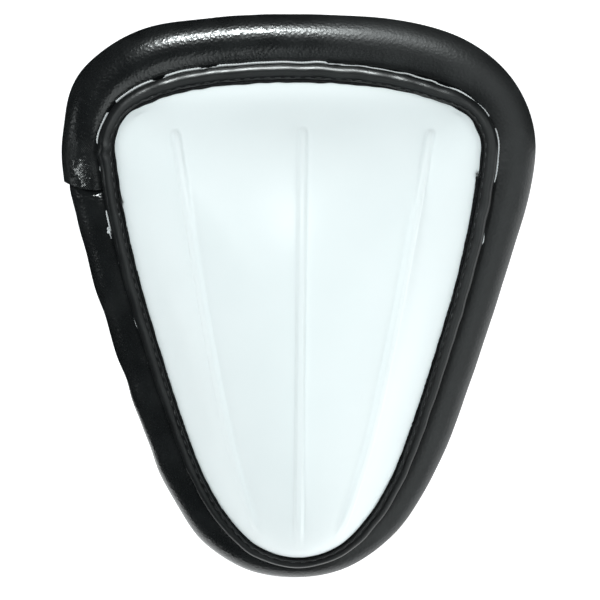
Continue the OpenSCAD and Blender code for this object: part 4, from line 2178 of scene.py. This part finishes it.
class Lamp(Enum):
    """The soft lights: place, aim, width, height, watts, if it glints and if it lights."""

    KEY = ((-0.030, 0.40, 0.31), (-0.02, 0.07, 0.0), 0.06, 0.06, 2.9, True, False)
    TOP = ((-0.60, 0.45, 1.1), (0.0, 0.0, 0.0), 0.4, 0.4, 9.3, False, True)
    RIGHT = ((0.80, 0.15, 0.55), (0.0, 0.0, 0.0), 1.0, 0.9, 2.6, True, True)
    LOW_RIGHT = ((0.50, -0.55, 0.75), (0.0, 0.0, 0.0), 0.9, 0.9, 4.8, True, True)
    LEFT = ((-0.85, 0.05, 0.10), (0.0, 0.0, 0.0), 0.25, 0.14, 0.4, True, True)


@dataclass
class Studio:
    """A plain white floor, soft lights and a camera straight above the front of the cup."""

    aim: tuple = (0.55 * MM, -1.1 * MM)
    camera_height: float = 1.2
    frame_width: float = 165.2 * MM
    frame_plane: float = 7.0 * MM
    sensor: float = 36.0
    floor_size: float = 6.0
    floor_drop: float = 0.02 * MM
    card_size: float = 0.34
    card_place: tuple = (0.12, -0.13, 0.1 * MM)
    card_glow: float = 0.9
    cool: tuple = (0.94, 1.0, 1.0)
    sky: tuple = (0.75, 0.78, 0.8)
    sky_strength: float = 0.28

    def camera(self) -> None:
        """Makes the camera."""
        data = bpy.data.cameras.new("camera")
        data.sensor_width = self.sensor
        data.lens = self.sensor * (self.camera_height - self.frame_plane) / self.frame_width
        data.clip_start, data.clip_end = 0.05, 20.0
        camera = bpy.data.objects.new("camera", data)
        camera.location = (*self.aim, self.camera_height)
        bpy.context.scene.collection.objects.link(camera)
        bpy.context.scene.camera = camera

    def floor(self) -> None:
        """Makes the floor just under the resting rim."""
        place = (0, 0, -self.floor_drop)
        floor = primitive(bpy.ops.mesh.primitive_plane_add, size=self.floor_size, location=place)
        floor.name = "floor"
        dress(floor, Paper().material())
        floor.visible_glossy = False

    def card(self) -> None:
        """Lays a white card at the right, seen only by reflections in the roll's side."""
        plane = bpy.ops.mesh.primitive_plane_add
        card = primitive(plane, size=self.card_size, location=self.card_place)
        card.name = "card"
        dress(card, Paper(glow=self.card_glow).material())
        card.visible_camera = card.visible_diffuse = card.visible_shadow = False

    def lights(self) -> None:
        """Makes the soft lights and the pale surroundings."""
        for lamp in Lamp:
            place, target, width, height, power, glints, lights = lamp.value
            data = bpy.data.lights.new(lamp.name.lower(), "AREA")
            data.shape = "RECTANGLE"
            data.size, data.size_y, data.energy = width, height, power
            data.color = self.cool
            light = bpy.data.objects.new(lamp.name.lower(), data)
            light.location = place
            way = Vector(target) - Vector(place)
            light.rotation_euler = way.to_track_quat("-Z", "Y").to_euler()
            light.visible_glossy, light.visible_diffuse = glints, lights
            bpy.context.scene.collection.objects.link(light)
        world = bpy.data.worlds.new("surroundings")
        world.use_nodes = True
        sky = world.node_tree.nodes["Background"]
        sky.inputs["Color"].default_value = (*self.sky, 1.0)
        sky.inputs["Strength"].default_value = self.sky_strength
        world.cycles_visibility.glossy = False
        bpy.context.scene.world = world

    def build(self) -> None:
        """Sets up the studio."""
        self.camera()
        self.floor()
        self.card()
        self.lights()
        bpy.context.scene.view_settings.view_transform = "Standard"


def main() -> None:
    """Builds the cup, piece by piece, and the studio."""
    logging.basicConfig(level=logging.INFO, format="%(message)s")
    low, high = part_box("rim_sleeve")
    rim = RimLine(low, high)
    Studio().build()

    CupShell(rim).make("shell_plastic", "cup_shell")
    FoamCore(rim).make("foam", "rim_foam_core")
    PaddedRoll(rim).make("rim_vinyl", "rim_sleeve")

    welt = Welt(rim)
    welt.make("welt_vinyl", "welt_cover")
    FillerCord(
        welt, "welt_filler_cord", 0.38 * MM, 2.2 * MM, 1200, 9, Yarn(Fibre.COTTON), twofold=0.08
    ).make("filler_cord", "welt_filler_cord")
    cord = SeamCord(welt, "seam_cord", 0.3 * MM, 1.5 * MM, 2400, 11, Yarn(Fibre.WHITE))
    cord.make("seam_cord", "seam_cord")
    Knot(cord).make("seam_cord")

    # How wide the two lengths of tape are: place round the rim, and millimetres up the flange
    waist = ((-5.33, 4.9), (-4.2, 4.6), (-3.4, 4.05), (-2.5, 4.8), (0, 5.0), (1.9, 5.4))
    sides = ((5.0, 5.5), (6.2, 4.5), (9, 4.1), (15, 4.1), (18.67, 4.7))
    FlatTape(
        rim, "inner_tape_upper", -5.33, 5.0, (*waist, (3.4, 4.7), (5.0, 4.6)), wavy=0.12 * MM
    ).make("tape", "inner_tape_upper")
    FlatTape(rim, "inner_tape_lower", 5.0, 18.67, sides, jagged=0.09 * MM, seed=51).make(
        "tape", "inner_tape_lower"
    )
    Fray(rim, "fray_right", 4.97, 3.9 * MM, 5.6 * MM).make("thread")
    Fray(rim, "fray_left", 18.69, 3.8 * MM, 4.9 * MM).make("thread")
    Stitching(rim, "front_stitching", 3.3 * MM, 2.26 * MM, welt=welt).make(
        "thread", "front_stitching"
    )

    FlatTape(
        rim,
        "back_tape",
        0.0,
        ROWS,
        ((0, 7.2), (ROWS, 7.2)),
        inner_u=0.6 * MM,
        face_v=2.52 * MM,
        behind=True,
        seed=61,
    ).make("tape", "back_tape")
    Stitching(
        rim, "back_stitching", 4.6 * MM, 2.5 * MM, behind=True, pitch=3.0 * MM, seed=71
    ).make("thread", "back_stitching")


if __name__ == "__main__":
    main()
